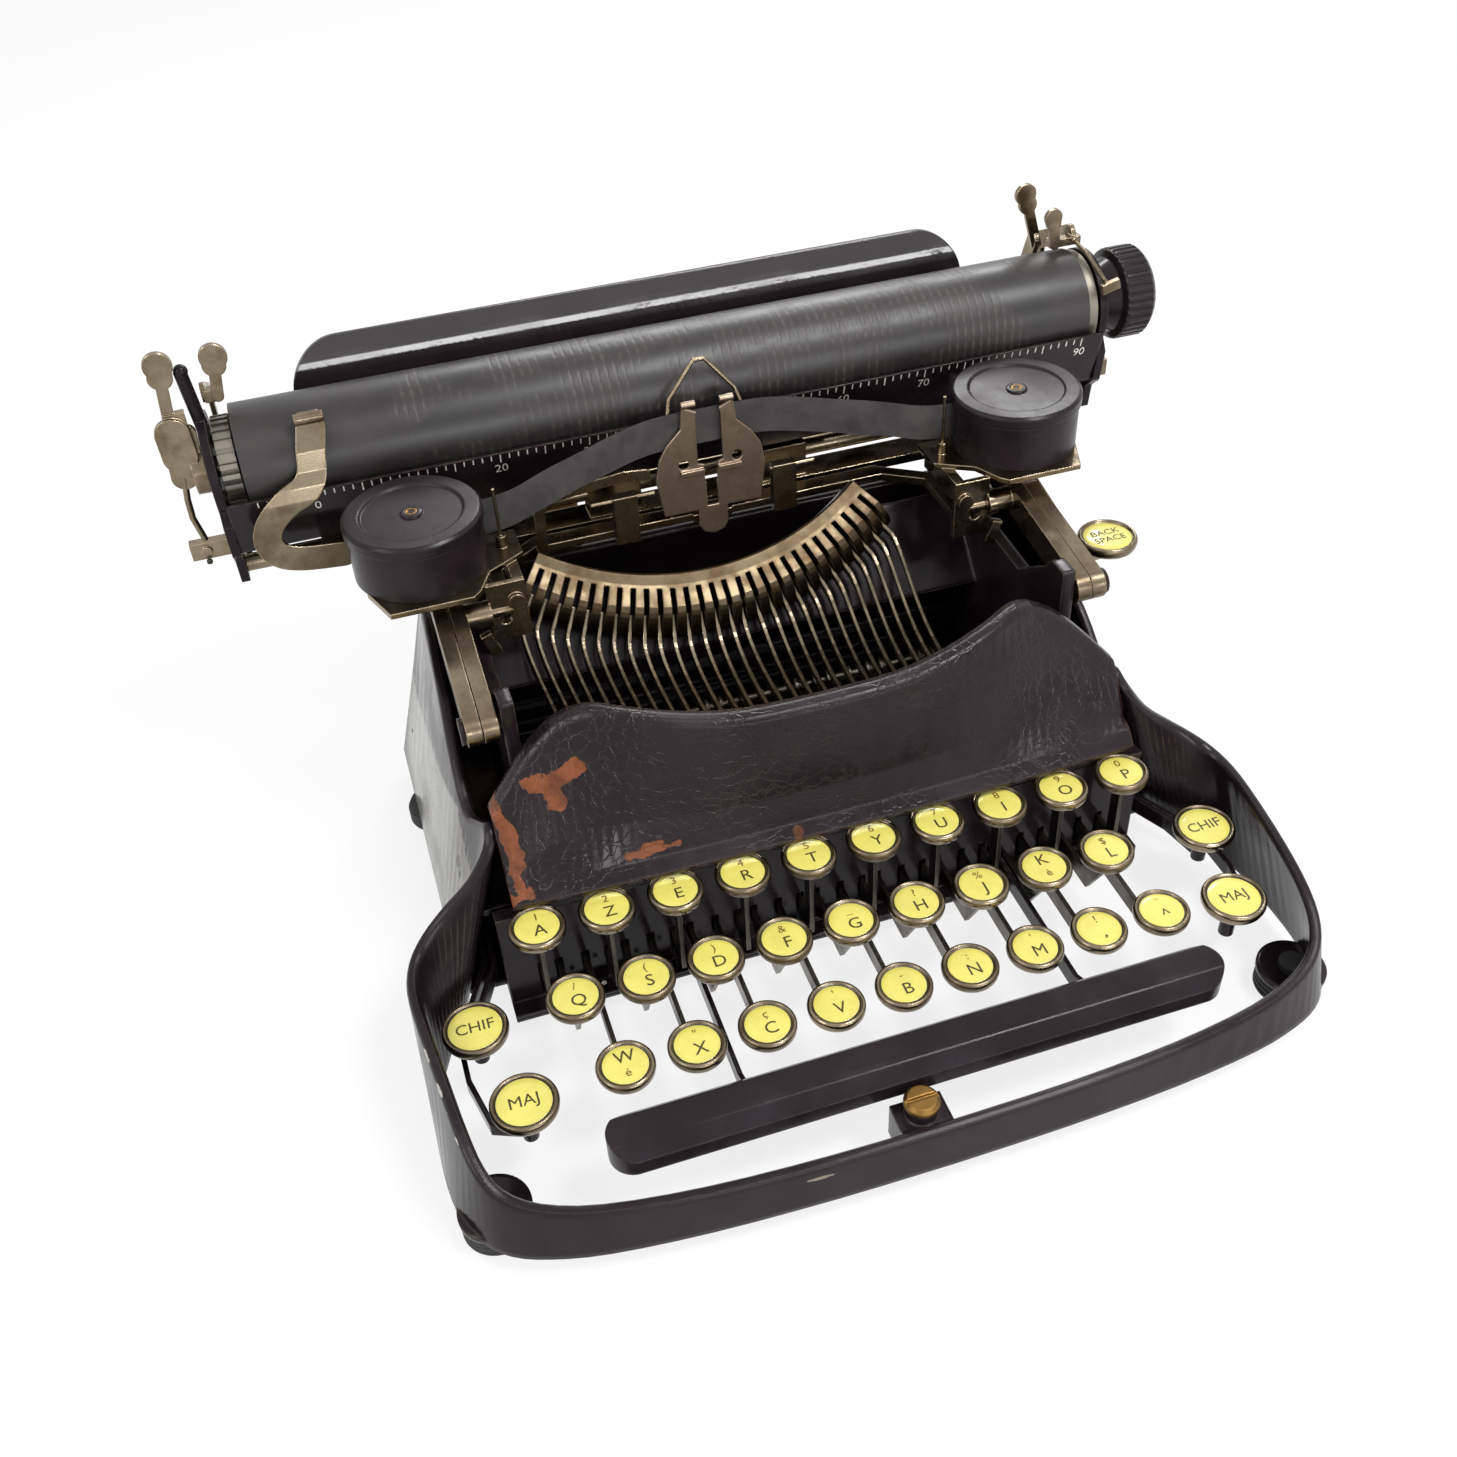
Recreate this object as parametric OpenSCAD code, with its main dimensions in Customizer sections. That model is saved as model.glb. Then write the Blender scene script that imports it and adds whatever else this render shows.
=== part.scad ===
// Folding portable typewriter with a three-row keyboard.
// x runs to the right, y to the rear and z up, in millimetres.
// Heights start on the table, and y starts at the space bar, until seated() moves the whole machine.

/* [Base casting] */
// Half width of the front rail at its widest
rail_half_w = 116; // [114:1:122]
// Half width of the side walls at the bottom
wall_half_w = 103; // [101:1:106]
// Thickness of the cast walls
wall_t = 3; // [2:0.5:4]
// Height of the underside of the casting above the table
base_z = 6; // [5:0.5:8]
// Height of the front rail's top edge above the table
rail_z = 19.5; // [17:0.5:22]
// Depth from the space bar to the rear wall
rear_y = 188; // [185:1:195]
// Thickness of the floor plate
floor_t = 1.5; // [1:0.25:2]
// Diameter of a rubber foot
foot_d = 20; // [16:1:22]

/* [Shield] */
// Thickness of the shield's sheet
shield_t = 1.6; // [1:0.2:2.5]
// Height of the shield's rim in the middle
rim_z = 82.5; // [80:0.5:85]
// Width of the rolled rim from front to rear
rim_w = 7; // [5:0.5:9]

/* [Keys] */
// Distance between neighbouring keys of a row
key_pitch = 17.96; // [17:0.02:19]
// Outer diameter of a key ring
key_d = 14.4; // [13:0.2:15]
// Width of the ring round the key face
key_ring_w = 1.2; // [0.8:0.1:1.6]
// Outer diameter of a shift key
shift_key_d = 16.6; // [15:0.2:17.4]
// Height of a key ring
key_h = 3.6; // [3:0.2:4.4]
// Thickness of a key lever
lever_t = 1.2; // [0.8:0.1:1.6]
// Height of a key lever
lever_h = 5; // [4:0.5:6]
// Depth from the space bar to the key levers' shaft
lever_pivot_y = 150; // [146:1:153]
// Height of the key levers' shaft
lever_pivot_z = 18; // [17.5:0.25:19]
// Diameter of the key levers' shaft
shaft_d = 3; // [2:0.25:4]
// Running clearance on a radius
fit = 0.06; // [0.03:0.01:0.1]

/* [Space bar] */
// Half length of the space bar
space_half = 79.5; // [70:0.5:82]
// Depth of the space bar from front to rear
space_w = 12.5; // [10:0.5:14]

/* [Type basket] */
// Number of type bars
type_count = 28; // [20:2:28]
// Radius of the circle of type bar pivots
type_r = 91.4; // [89:0.2:93]
// Angle between neighbouring type bars
type_step = 2.55; // [2.4:0.05:2.6]
// Tilt of the segment from level
type_tilt = 47; // [44:1:50]
// Thickness of a type bar
type_t = 1; // [0.8:0.1:1.2]
// Width of the segment's comb from inside to outside
comb_w = 17.4; // [15:0.2:19]

/* [Folding frame] */
// Height of the fold pivot
fold_z = 81; // [80:0.5:83]
// Depth from the space bar to the fold pivot
fold_y = 90; // [88:1:92]
// Width of each arm
arm_w = 4; // [3:0.25:4.4]
// Height of each arm
arm_h = 8.5; // [7:0.5:9]
// Rise of the arms to the rear in degrees
arm_rise = 8; // [7:0.5:9]
// Diameter of the fold pivot pins
pivot_d = 4; // [3:0.25:5]

/* [Ribbon] */
// Diameter of a ribbon can
can_d = 37; // [34:0.2:39]
// Height of a ribbon can
can_h = 16.4; // [14:0.2:18]
// Half the distance between the cans' axes
can_x = 86.5; // [84:0.5:89]
// Width of the ribbon
ribbon_w = 12.7; // [9:0.1:13]

/* [Carriage] */
// Diameter of the platen
platen_d = 32; // [28:0.5:33]
// Length of the platen
platen_len = 249; // [240:1:250]
// Depth from the space bar to the platen's axis
platen_y = 185; // [184:0.5:187]
// Height of the platen's axis
platen_z = 114; // [112:0.5:116]
// Diameter of the platen's shaft
platen_shaft_d = 6; // [4:0.5:8]
// Diameter of the turning knob
knob_d = 27.6; // [26:0.2:32]
// Width of the paper table
table_w = 204; // [180:1:212]
// Diameter of the carriage rails
rail_d = 5; // [4:0.5:6]

/* [Hidden] */
$fn = 48;
letters = ["a", "z", "e", "r", "t", "y", "u", "i", "o", "p",
           "q", "s", "d", "f", "g", "h", "j", "k", "l",
           "w", "x", "c", "v", "b", "n", "m", "comma", "accent"];
key_nodes = [for (name = letters) str("key_", name)];

// The whole machine is moved so that its box stands centred on the origin.
left_end = -147;
right_end = 147;
front_end = -19.6;
rear_end = 213;
module seated() translate([-(left_end + right_end) / 2, -(front_end + rear_end) / 2, 0]) children();

// Colours
enamel = [0.07, 0.07, 0.075];
nickel = [0.74, 0.69, 0.56];
steel = [0.33, 0.31, 0.29];
rubber = [0.12, 0.12, 0.115];
key_yellow = [0.93, 0.87, 0.38];
brass = [0.62, 0.38, 0.12];
ribbon_grey = [0.2, 0.19, 0.18];

// Extrudes a y-z outline along x, from x0 over the width w.
module across(x0, w) translate([x0, 0, 0]) rotate([90, 0, 90]) linear_extrude(w) children();
// A round bar along x.
module x_rod(x0, x1, y, z, d) translate([x0, y, z]) rotate([0, 90, 0]) cylinder(d = d, h = x1 - x0);
// A flat bar with round ends between two points of a plane. Its ends stand out by a hair, so that no side is tangent.
side_in = 0.02;
module link_2d(p, q, w) {
  translate(p) circle(d = w);
  translate(q) circle(d = w);
  translate(p) rotate(atan2(q.y - p.y, q.x - p.x)) translate([0, side_in - w / 2])
    square([norm(q - p), w - 2 * side_in]);
}
// A smooth curve through the points of a list, with the given steps in each stretch.
function spline(p, i, t) =
  let (a = p[max(i - 1, 0)], b = p[i], c = p[i + 1], d = p[min(i + 2, len(p) - 1)])
  b + t * (c - a) / 2 + t * t * (a - 2.5 * b + 2 * c - d / 2) + t * t * t * (-a + 3 * b - 3 * c + d) / 2;
function smooth(p, steps) = concat(
  [for (i = [0 : len(p) - 2], k = [0 : steps - 1]) spline(p, i, k / steps)], [p[len(p) - 1]]);
// Joins rings of points into one closed solid, capped at both ends or joined round into a loop.
module skin(rings, loop = false) {
  n = len(rings[0]);
  m = len(rings);
  points = [for (ring = rings, p = ring) p];
  sides = [for (i = [0 : m - (loop ? 1 : 2)], k = [0 : n - 1])
    let (a = i * n, b = ((i + 1) % m) * n, k2 = (k + 1) % n) [a + k, a + k2, b + k2, b + k]];
  caps = loop ? [] : [[for (k = [n - 1 : -1 : 0]) k], [for (k = [0 : n - 1]) (m - 1) * n + k]];
  polyhedron(points, concat(sides, caps), convexity = 12);
}

// BASE CASTING
// Each row holds the top edge's x, y and z and the bottom edge's x and y, for the right half.
rail_run = [
  [88, rear_y - 9, 60, wall_half_w, rear_y - 9],
  [89, 165, 70, wall_half_w, 165],
  [90, 140, 73, wall_half_w, 140],
  [91, 118, 71, wall_half_w, 118],
  [92, 102, 63, wall_half_w, 102],
  [92, 90, 55, wall_half_w, 90],
  [90, 82, 58, wall_half_w, 82],
  [88.5, 76, 61.5, wall_half_w + 0.5, 76],
  [90, 72.5, 58, wall_half_w + 1.5, 71],
  [95.5, 71, 50, wall_half_w + 3.5, 66],
  [103, 70, 43.5, wall_half_w + 6, 61],
  [109.5, 67, 39, wall_half_w + 9, 55],
  [114, 62, 36, rail_half_w - 1, 48],
  [rail_half_w, 54, 34.5, rail_half_w + 1, 40],
  [rail_half_w - 0.6, 42, 34, rail_half_w + 1.4, 28],
  [rail_half_w - 2.4, 25, 33, rail_half_w + 1.2, 15],
  [rail_half_w - 4, 11, 30.5, rail_half_w - 0.5, 5],
  [rail_half_w - 6, 2, 27, rail_half_w - 4.5, -3],
  [rail_half_w - 10, -4, 23.5, rail_half_w - 10, -8.3],
  [rail_half_w - 18, -8.8, rail_z + 1.5, rail_half_w - 18.5, -12],
  [rail_half_w - 32, -13, rail_z + 0.3, rail_half_w - 32, -15.2],
  [60, -16.4, rail_z, 60, -17.8],
  [30, -18.2, rail_z, 30, -19.2],
  [0, -18.6, rail_z, 0, -19.6]];
half_run = smooth(rail_run, 3);
full_run = concat(
  [for (r = half_run) r],
  [for (k = [len(half_run) - 2 : -1 : 0]) let (r = half_run[k]) [-r[0], r[1], r[2], -r[3], r[4]]]);
// The wall's section at station i: outer foot, outer top, rounded crest, inner top and inner foot.
function flat(v) = let (l = norm([v.x, v.y])) [v.x / l, v.y / l, 0];
function wall_ring(i) =
  let (m = len(full_run),
       a = full_run[max(i - 1, 0)], b = full_run[min(i + 1, m - 1)], r = full_run[i],
       along = flat([b[0] - a[0] + b[3] - a[3], b[1] - a[1] + b[4] - a[4]]),
       inward = i == 0 ? [-1, 0, 0] : i == m - 1 ? [1, 0, 0] : [along.y, -along.x, 0],
       top = [r[0], r[1], r[2]], foot = [r[3], r[4], base_z])
  [foot, top - [0, 0, 1.2], top + inward * 0.5 - [0, 0, 0.25], top + inward * (wall_t - 0.9),
   top + inward * wall_t - [0, 0, 1], foot + inward * wall_t];
module base_wall() skin([for (i = [len(full_run) - 1 : -1 : 0]) wall_ring(i)]);
shelf_z = 27;
cheek_x = 74.5;
cheek_t = 3.6;
// The rear wall and the floor under the type basket
module base_deck() {
  translate([0, rear_y - 8.5, 0]) rotate([90, 0, 0]) linear_extrude(wall_t) polygon([[-99, base_z],
    [99, base_z], [87.5, 60], [80, 68], [-80, 68], [-87.5, 60]]);
  translate([-wall_half_w + 2, 72, base_z]) cube([2 * wall_half_w - 4, rear_y - 82, floor_t]);
  translate([-comb_half_w, comb_y - 5, base_z]) cube([2 * comb_half_w, 80 - comb_y, floor_t]);
}
module cheek_outline() polygon([[76, shelf_z], [82, 56], [87.2, 66], [87.2, fold_z + 7.5],
  [94, fold_z + 7.5], [98, fold_z + 3], [112, 74], [150, 76], [162, 70], [162, shelf_z],
  [bar_pivot_y + 6, shelf_z], [bar_pivot_y + 4, bar_pivot_z - 3], [bar_pivot_y - 4, bar_pivot_z - 3],
  [bar_pivot_y - 6, shelf_z]]);
module base_cheeks() for (s = [-1, 1]) {
  difference() {
    across(s > 0 ? cheek_x : -cheek_x - cheek_t, cheek_t) cheek_outline();
    x_rod(-100, 100, fold_y, fold_z, pivot_d);
    x_rod(-100, 100, bar_pivot_y, bar_pivot_z, space_rod_d + 2 * fit);
  }
  translate([s > 0 ? cheek_x : -shelf_x, 78, shelf_z]) cube([shelf_x - cheek_x, 82, 2.5]);
}
shelf_x = 97.4;
space_rod_d = 3;
// The tilted frame in which the segment and its seat are drawn
segment_c = [-7.4, 197.9, 133.9];
module in_segment() translate(segment_c) rotate([type_tilt, 0, 0]) children();
comb_in = type_r - comb_w + 6;
comb_out = type_r + 6;
seat_z = -13;
module segment_seat() in_segment() translate([0, 0, seat_z]) linear_extrude(3) difference() {
  translate([-segment_c.x - cheek_x - 0.5, -comb_out - 3]) square([2 * cheek_x + 1, 29]);
  circle(r = comb_in + 1, $fn = 96);
}
module base_frame() color(enamel) {
  base_wall();
  // lugs in the front corners for the feet
  for (s = [-1, 1]) translate([s * foot_x, front_foot_y, base_z]) difference() {
    cylinder(d = foot_d - 2, h = floor_t);
    cylinder(d = foot_neck_d, h = 3 * floor_t, center = true);
  }
  base_deck();
  base_cheeks();
  front_bracket();
  segment_seat();
  // Pins for the folding frame, and stub pins for the two shift yokes
  for (s = [-1, 1]) {
    x_rod(s > 0 ? cheek_x : -88.6, s > 0 ? 88.6 : -cheek_x, fold_y, fold_z, pivot_d);
    x_rod(s > 0 ? 87.5 : -88.6, s > 0 ? 88.6 : -87.5, fold_y, fold_z, pivot_d + 3);
    for (k = [0, 1]) x_rod(s > 0 ? stub_x : -stub_end[k], s > 0 ? stub_end[k] : -stub_x, shift_y, shift_z[k],
      stub_d);
  }
  // Brackets that carry the key levers' shaft
  for (s = [-1, 1]) difference() {
    across(s > 0 ? 84 : -87, 3) polygon([[lever_pivot_y - 8, base_z + floor_t],
      [lever_pivot_y + 8, base_z + floor_t], [lever_pivot_y + 4, shelf_z], [lever_pivot_y - 4, shelf_z]]);
    x_rod(-100, 100, lever_pivot_y, lever_pivot_z, shaft_d);
  }
}

// RUBBER FEET
foot_x = 107.4;
front_foot_y = 5;
rear_foot_x = 97;
rear_foot_y = 152;
foot_neck_d = 6;
foot_head_d = 7;
module foot(neck) rotate_extrude() {
  square([foot_d / 2 - 2, base_z]);
  for (k = [0 : 2]) translate([foot_d / 2 - 2, 0.9 + k * 1.7]) circle(d = 1.5, $fn = 16);
  if (neck) {
    square([foot_neck_d / 2, base_z + floor_t + 2]);
    translate([0, base_z + floor_t]) square([foot_head_d / 2, 2]);
  }
}
module rubber_feet() color(rubber) for (s = [-1, 1]) {
  translate([s * foot_x, front_foot_y, 0]) foot(true);
  translate([s * rear_foot_x, rear_foot_y, 0]) foot(false);
}

// SHIELD
// Rim stations of the right half: x, y and z of the ridge, and y of the shield's lower edge
rim_run = [
  [0, 66, rim_z, 61.5], [20, 66.5, rim_z + 0.3, 61.5], [35, 69, rim_z + 1.8, 61.6],
  [48, 73, rim_z + 4, 61.8], [57, 77.5, rim_z + 4.6, 62], [65, 80, rim_z + 1.5, 62.4],
  [73, 79.5, rim_z - 4.5, 62.8], [80, 77, rim_z - 11.5, 63.2], [86, 74.5, rim_z - 18, 63.6]];
half_rim = smooth(rim_run, 3);
full_rim = concat([for (k = [len(half_rim) - 1 : -1 : 1]) let (r = half_rim[k]) [-r[0], r[1], r[2], r[3]]],
                  half_rim);
shield_z = 45;
function shield_ring(r) =
  let (x = r[0], y = r[1], z = r[2], b = r[3], h = z - shield_z)
  [[x, b - 3, shield_z], [x, b - 3.4, shield_z + 1.6], [x, b - 0.6, shield_z + 5],
   [x, b + (y - b) * 0.3, shield_z + h * 0.35], [x, b + (y - b) * 0.72, shield_z + h * 0.75],
   [x, y - 0.2, z - 1], [x, y + 1, z + 0.2], [x, y + rim_w * 0.5, z + 0.5],
   [x, y + rim_w - 0.8, z - 0.8], [x, y + rim_w, z - 2.6], [x, y + rim_w - shield_t, z - 2.6],
   [x, y + rim_w * 0.5, z - shield_t + 0.2], [x, y + 1.4, z - shield_t - 0.6],
   [x, b + (y - b) * 0.72 + shield_t, shield_z + h * 0.75],
   [x, b + (y - b) * 0.3 + shield_t, shield_z + h * 0.35],
   [x, b - 0.6 + shield_t, shield_z + 5.6], [x, b - 1.6, shield_z]];
module front_shield() color(enamel) skin([for (r = full_rim) shield_ring(r)]);

// KEYS AND KEY LEVERS
// Front edge and height of each row of keys, front rows last
row_y = [55.4, 37.1, 19];
row_z = [43.5, 35.7, 28];
row_x = [-81.5, -76.9, -69.8];
row_first = [0, 10, 19];
row_bend = [0, 8, 9];
function key_row(i) = i < row_first[1] ? 0 : i < row_first[2] ? 1 : 2;
function key_x(i) = let (row = key_row(i)) row_x[row] + (i - row_first[row]) * key_pitch;
lever_z = lever_pivot_z - 3;
stem_w = 4;
module key_top(d) {
  // ring, then the yellow card under its cover
  color(nickel) rotate_extrude() polygon([
    [0, -key_h], [d / 2 - 1.6, -key_h], [d / 2 - 0.3, -key_h + 0.8], [d / 2, -key_h + 1.6],
    [d / 2, -0.7], [d / 2 - 0.35, -0.15], [d / 2 - 0.8, 0], [d / 2 - key_ring_w, -0.4],
    [d / 2 - key_ring_w, -1.4], [0, -1.4]]);
  color(key_yellow) translate([0, 0, -1.4]) cylinder(d = d - 2 * key_ring_w, h = 0.9);
}
module lever_outline(row) {
  y = row_y[row];
  under = row_z[row] - key_h;
  bend = row_bend[row];
  difference() {
    union() {
      polygon([[lever_pivot_y, lever_z], [y - stem_w / 2 + bend, lever_z],
        [y - stem_w / 2, bend > 0 ? under - 3 : lever_z], [y - stem_w / 2, under],
        [y + stem_w / 2, under], [y + stem_w / 2, bend > 0 ? under - 1.5 : lever_z + lever_h],
        [y + stem_w / 2 + bend, lever_z + lever_h], [lever_pivot_y, lever_z + lever_h]]);
      translate([lever_pivot_y, lever_pivot_z]) circle(d = shaft_d + 4);
    }
    translate([lever_pivot_y, lever_pivot_z]) circle(d = shaft_d + 2 * fit);
  }
}
module letter_key(i) {
  row = key_row(i);
  translate([key_x(i), 0, 0]) {
    color(steel) across(-lever_t / 2, lever_t) lever_outline(row);
    translate([0, row_y[row], row_z[row]]) key_top(key_d);
  }
}
module lever_shaft() color(steel) x_rod(-87, 87, lever_pivot_y, lever_pivot_z, shaft_d);

// LEVER COMB
comb_y = 63;
comb_t = 4;
comb_z = base_z + floor_t;
comb_half_w = 91;
comb_floor = lever_z - 6.2;
comb_top = shield_z - 1;
slot_w = lever_t + 0.8;
module lever_comb() color(enamel) {
  difference() {
    union() {
      translate([-comb_half_w, comb_y, comb_z]) cube([2 * comb_half_w, comb_t, comb_top - comb_z - 4]);
      translate([-comb_half_w, comb_y - 5, comb_z]) cube([2 * comb_half_w, 5, comb_floor - comb_z - 0.6]);
    }
    for (i = [0 : len(letters) - 1]) translate([key_x(i) - slot_w / 2, comb_y - 1, comb_floor])
      cube([slot_w, comb_t + 2, lever_h + 7.2]);
    for (x = bar_arm_x) translate([x - slot_w / 2, comb_y - 1, comb_floor])
      cube([slot_w, comb_t + 2, lever_h + 7.2]);
  }
}

// TYPE SEGMENT AND TYPE BARS
// The bar in the plane x = 0 strikes the print point.
middle_bar = 15;
middle_angle = asin(-segment_c.x / type_r);
function type_angle(i) = middle_angle + (i - middle_bar) * type_step;
first_angle = type_angle(0) - 1.8;
last_angle = type_angle(type_count - 1) + 1.6;
pivot_n = -5;
type_slot = type_t + 0.5;
module segment_section() polygon(concat(
  [[comb_in, seat_z + 3], [comb_in, -0.6], [comb_in + 0.6, 0], [comb_in + 3.5, 0]],
  [for (a = [80 : -10 : 0]) [comb_out - 9 + 9 * cos(a), -7 + 8 * sin(a)]],
  [[comb_out, seat_z + 3]]));
module type_segment() color(nickel) in_segment() difference() {
  rotate([0, 0, -90 + first_angle]) rotate_extrude(angle = last_angle - first_angle, $fn = 96)
    segment_section();
  for (i = [0 : type_count - 1]) if (i != middle_bar) rotate([0, 0, type_angle(i)])
    translate([-type_slot / 2, -comb_out - 1, seat_z - 1]) cube([type_slot, comb_w - 3.5, 20]);
  translate([-segment_c.x - type_slot / 2, -comb_out - 1, seat_z - 1]) cube([type_slot, comb_w - 3.5, 20]);
}
// Pivot pin of the middle bar
module middle_pin() color(steel) x_rod(-2, 2, middle_p.y, middle_p.z, pin_d);
// Place of a pivot on the segment's circle, in the machine's frame
function from_segment(v) = segment_c + [v.x,
  v.y * cos(type_tilt) - v.z * sin(type_tilt), v.y * sin(type_tilt) + v.z * cos(type_tilt)];
function type_pivot(i) = let (a = type_angle(i)) from_segment([type_r * sin(a), -type_r * cos(a), pivot_n]);
// Heads lie on an arc behind the shield's rim
head_spread = 1.04;
function type_head(i) = let (p = type_pivot(i), u = p.x / 58) [p.x * head_spread,
  86.5 + 6 * u * u, 57 + 5 * u * u];
function bezier(a, b, c, d, t) = a * pow(1 - t, 3) + 3 * b * t * pow(1 - t, 2) + 3 * c * t * t * (1 - t)
  + d * pow(t, 3);
slot_part = 0.14;
function along_slot(i, far) = let (a = type_angle(i))
  from_segment([(type_r + far) * sin(a), -(type_r + far) * cos(a), pivot_n - far / 13]);
function bar_point(i, t) = t <= slot_part ? along_slot(i, 8 * t / slot_part)
  : let (h = type_head(i)) bezier(along_slot(i, 8), along_slot(i, 14), [h.x, h.y + 26, h.z - 7], h,
    (t - slot_part) / (1 - slot_part));
bar_rings = 14;
// Across a slot of the segment
function slot_side(i) = let (a = type_angle(i)) -[cos(a), sin(a) * cos(type_tilt), sin(a) * sin(type_tilt)];
function bar_ring(i, k) =
  let (t = k / bar_rings, c = bar_point(i, t), d = bar_point(i, min(t + 0.02, 1)) - bar_point(i, max(t - 0.02, 0)),
       bend = max(0, t - slot_part) / (1 - slot_part),
       side = (1 - bend) * slot_side(i) + bend * flat([d.y, -d.x, 0]), up = cross(side, d) / norm(d) * (1.5 - 0.3 * t), w = side * type_t / 2)
  [c + w + up, c - w + up, c - w - up, c + w - up];
slug = [3, 8, 2.4];
pin_d = 1.6;
module type_bars() for (i = [0 : type_count - 1]) if (i != middle_bar) {
  color(nickel) skin([for (k = [0 : bar_rings]) bar_ring(i, k)]);
}
// The middle type bar swings in the plane x = 0.
middle_p = type_pivot(middle_bar);
middle_h = type_head(middle_bar);
module bar_profile() {
  n = 10;
  pts = [for (k = [0 : n]) bar_point(middle_bar, k / n)];
  difference() {
    union() {
      polygon(concat([for (p = pts) [p.y, p.z + 1.5]], [for (k = [n : -1 : 0]) [pts[k].y, pts[k].z - 1.5]]));
      translate([middle_p.y, middle_p.z]) circle(d = 4);
    }
    translate([middle_p.y, middle_p.z]) circle(d = pin_d + 2 * fit);
  }
}
module middle_type_bar() {
  color(nickel) across(-type_t / 2, type_t) bar_profile();
  color(steel) translate([-slug.x / 2, middle_h.y - 0.5, middle_h.z + 0.8]) cube(slug);
}

// SPACE BAR
// Both arms pass between key levers.
bar_arm_x = [-43.3, 46.9];
bar_top = 28;
bar_pivot_y = 110;
bar_pivot_z = 24;
module space_bar() {
  color(enamel) {
    // bevelled bar with round ends
    difference() {
      intersection() {
        across(-space_half, 2 * space_half) polygon([[-space_w / 2, bar_top - 8], [-space_w / 2, bar_top - 3.5],
          [-space_w / 2 + 3.5, bar_top - 0.4], [-space_w / 2 + 5, bar_top], [space_w / 2 - 1.5, bar_top],
          [space_w / 2, bar_top - 1.5], [space_w / 2, bar_top - 8]]);
        linear_extrude(60) link_2d([-space_half + space_w / 2, 0], [space_half - space_w / 2, 0], space_w);
      }
      across(-space_half + 5, 2 * space_half - 10) translate([-space_w / 2 + 2, bar_top - 9])
        square([space_w - 4, 6.5]);
    }
  }
  color(steel) {
    for (x = bar_arm_x) across(x - lever_t / 2, lever_t) union() {
      link_2d([bar_pivot_y, bar_pivot_z], [76, lever_z + 2.5], 5);
      link_2d([76, lever_z + 2.5], [12, lever_z + 2.5], 5);
      link_2d([12, lever_z + 2.5], [0, bar_top - 4], 5);
      translate([bar_pivot_y, bar_pivot_z]) circle(d = space_rod_d + 4);
    }
    x_rod(-cheek_x - cheek_t, cheek_x + cheek_t, bar_pivot_y, bar_pivot_z, space_rod_d);
  }
}

// SHIFT KEYS
// Each yoke joins a left and a right key, and turns on stub pins in the side walls.
shift_y = 166;
shift_z = [11.5, 22.5];
stub_d = 2.5;
stub_x = 90.6;
stub_end = [100.6, 99.2];
yoke_d = 5.4;
yoke_t = 1.4;
yoke_z = [12, 13];
yoke_h = [4.2, 5];
figures_key = [102, 44.4, 25.4];
capitals_key = [95, 18.3, 26];
module plan_path(points, w) for (i = [0 : len(points) - 2]) link_2d(points[i], points[i + 1], w);
module shift_yoke(key, path, end_x, z, low, high) {
  color(enamel) {
    difference() {
      union() {
        x_rod(-end_x, end_x, shift_y, z, yoke_d);
        for (s = [-1, 1]) mirror([s < 0 ? 1 : 0, 0, 0]) {
          translate([0, 0, low]) linear_extrude(high) plan_path(path, yoke_t);
          across(end_x - yoke_t, yoke_t) link_2d([shift_y, z], [path[0].y, low + high / 2], high);
          translate([key.x, key.y, low]) cylinder(d = 4, h = key.z - key_h - low + 0.2);
        }
      }
      for (s = [-1, 1]) mirror([s < 0 ? 1 : 0, 0, 0])
        x_rod(stub_x - 0.3, end_x + 1, shift_y, z, stub_d + 2 * fit);
    }
  }
  for (s = [-1, 1]) translate([s * key.x, key.y, key.z]) key_top(shift_key_d);
}
module figures_shift() shift_yoke(figures_key, [[93, 146], [93, 71], [99.4, 57],
  [figures_key.x, figures_key.y]], 93 + yoke_t / 2, shift_z[1], yoke_z[1], yoke_h[1]);
module capitals_shift() shift_yoke(capitals_key, [[95.2, 150], [95.2, 73], [101, 61], [106.5, 50], [106.5, 36],
  [103.5, 22], [capitals_key.x, capitals_key.y]], 95.2 + yoke_t / 2, shift_z[0], yoke_z[0], yoke_h[0]);

// SLOTTED SCREW ON THE FRONT BRACKET
screw_at = [-6, -11.2, 22];
module front_screw() color(brass) translate(screw_at) difference() {
  union() {
    translate([0, 0, -8]) cylinder(d = 5, h = 9);
    rotate_extrude() polygon([[0, 0], [4.4, 0], [4.4, 1], [3.5, 2], [0, 2.2]]);
  }
  translate([-6, -0.6, 1.2]) cube([12, 1.2, 2]);
}
module front_bracket() difference() {
  union() {
    translate([screw_at.x - 6.5, -17.2, base_z + 2]) cube([13, 10, 10.5]);
    translate([screw_at.x, screw_at.y, base_z + 12]) cylinder(d = 8, h = screw_at.z - base_z - 12);
  }
  translate([screw_at.x, screw_at.y, base_z]) cylinder(d = 5, h = 30);
}

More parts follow.
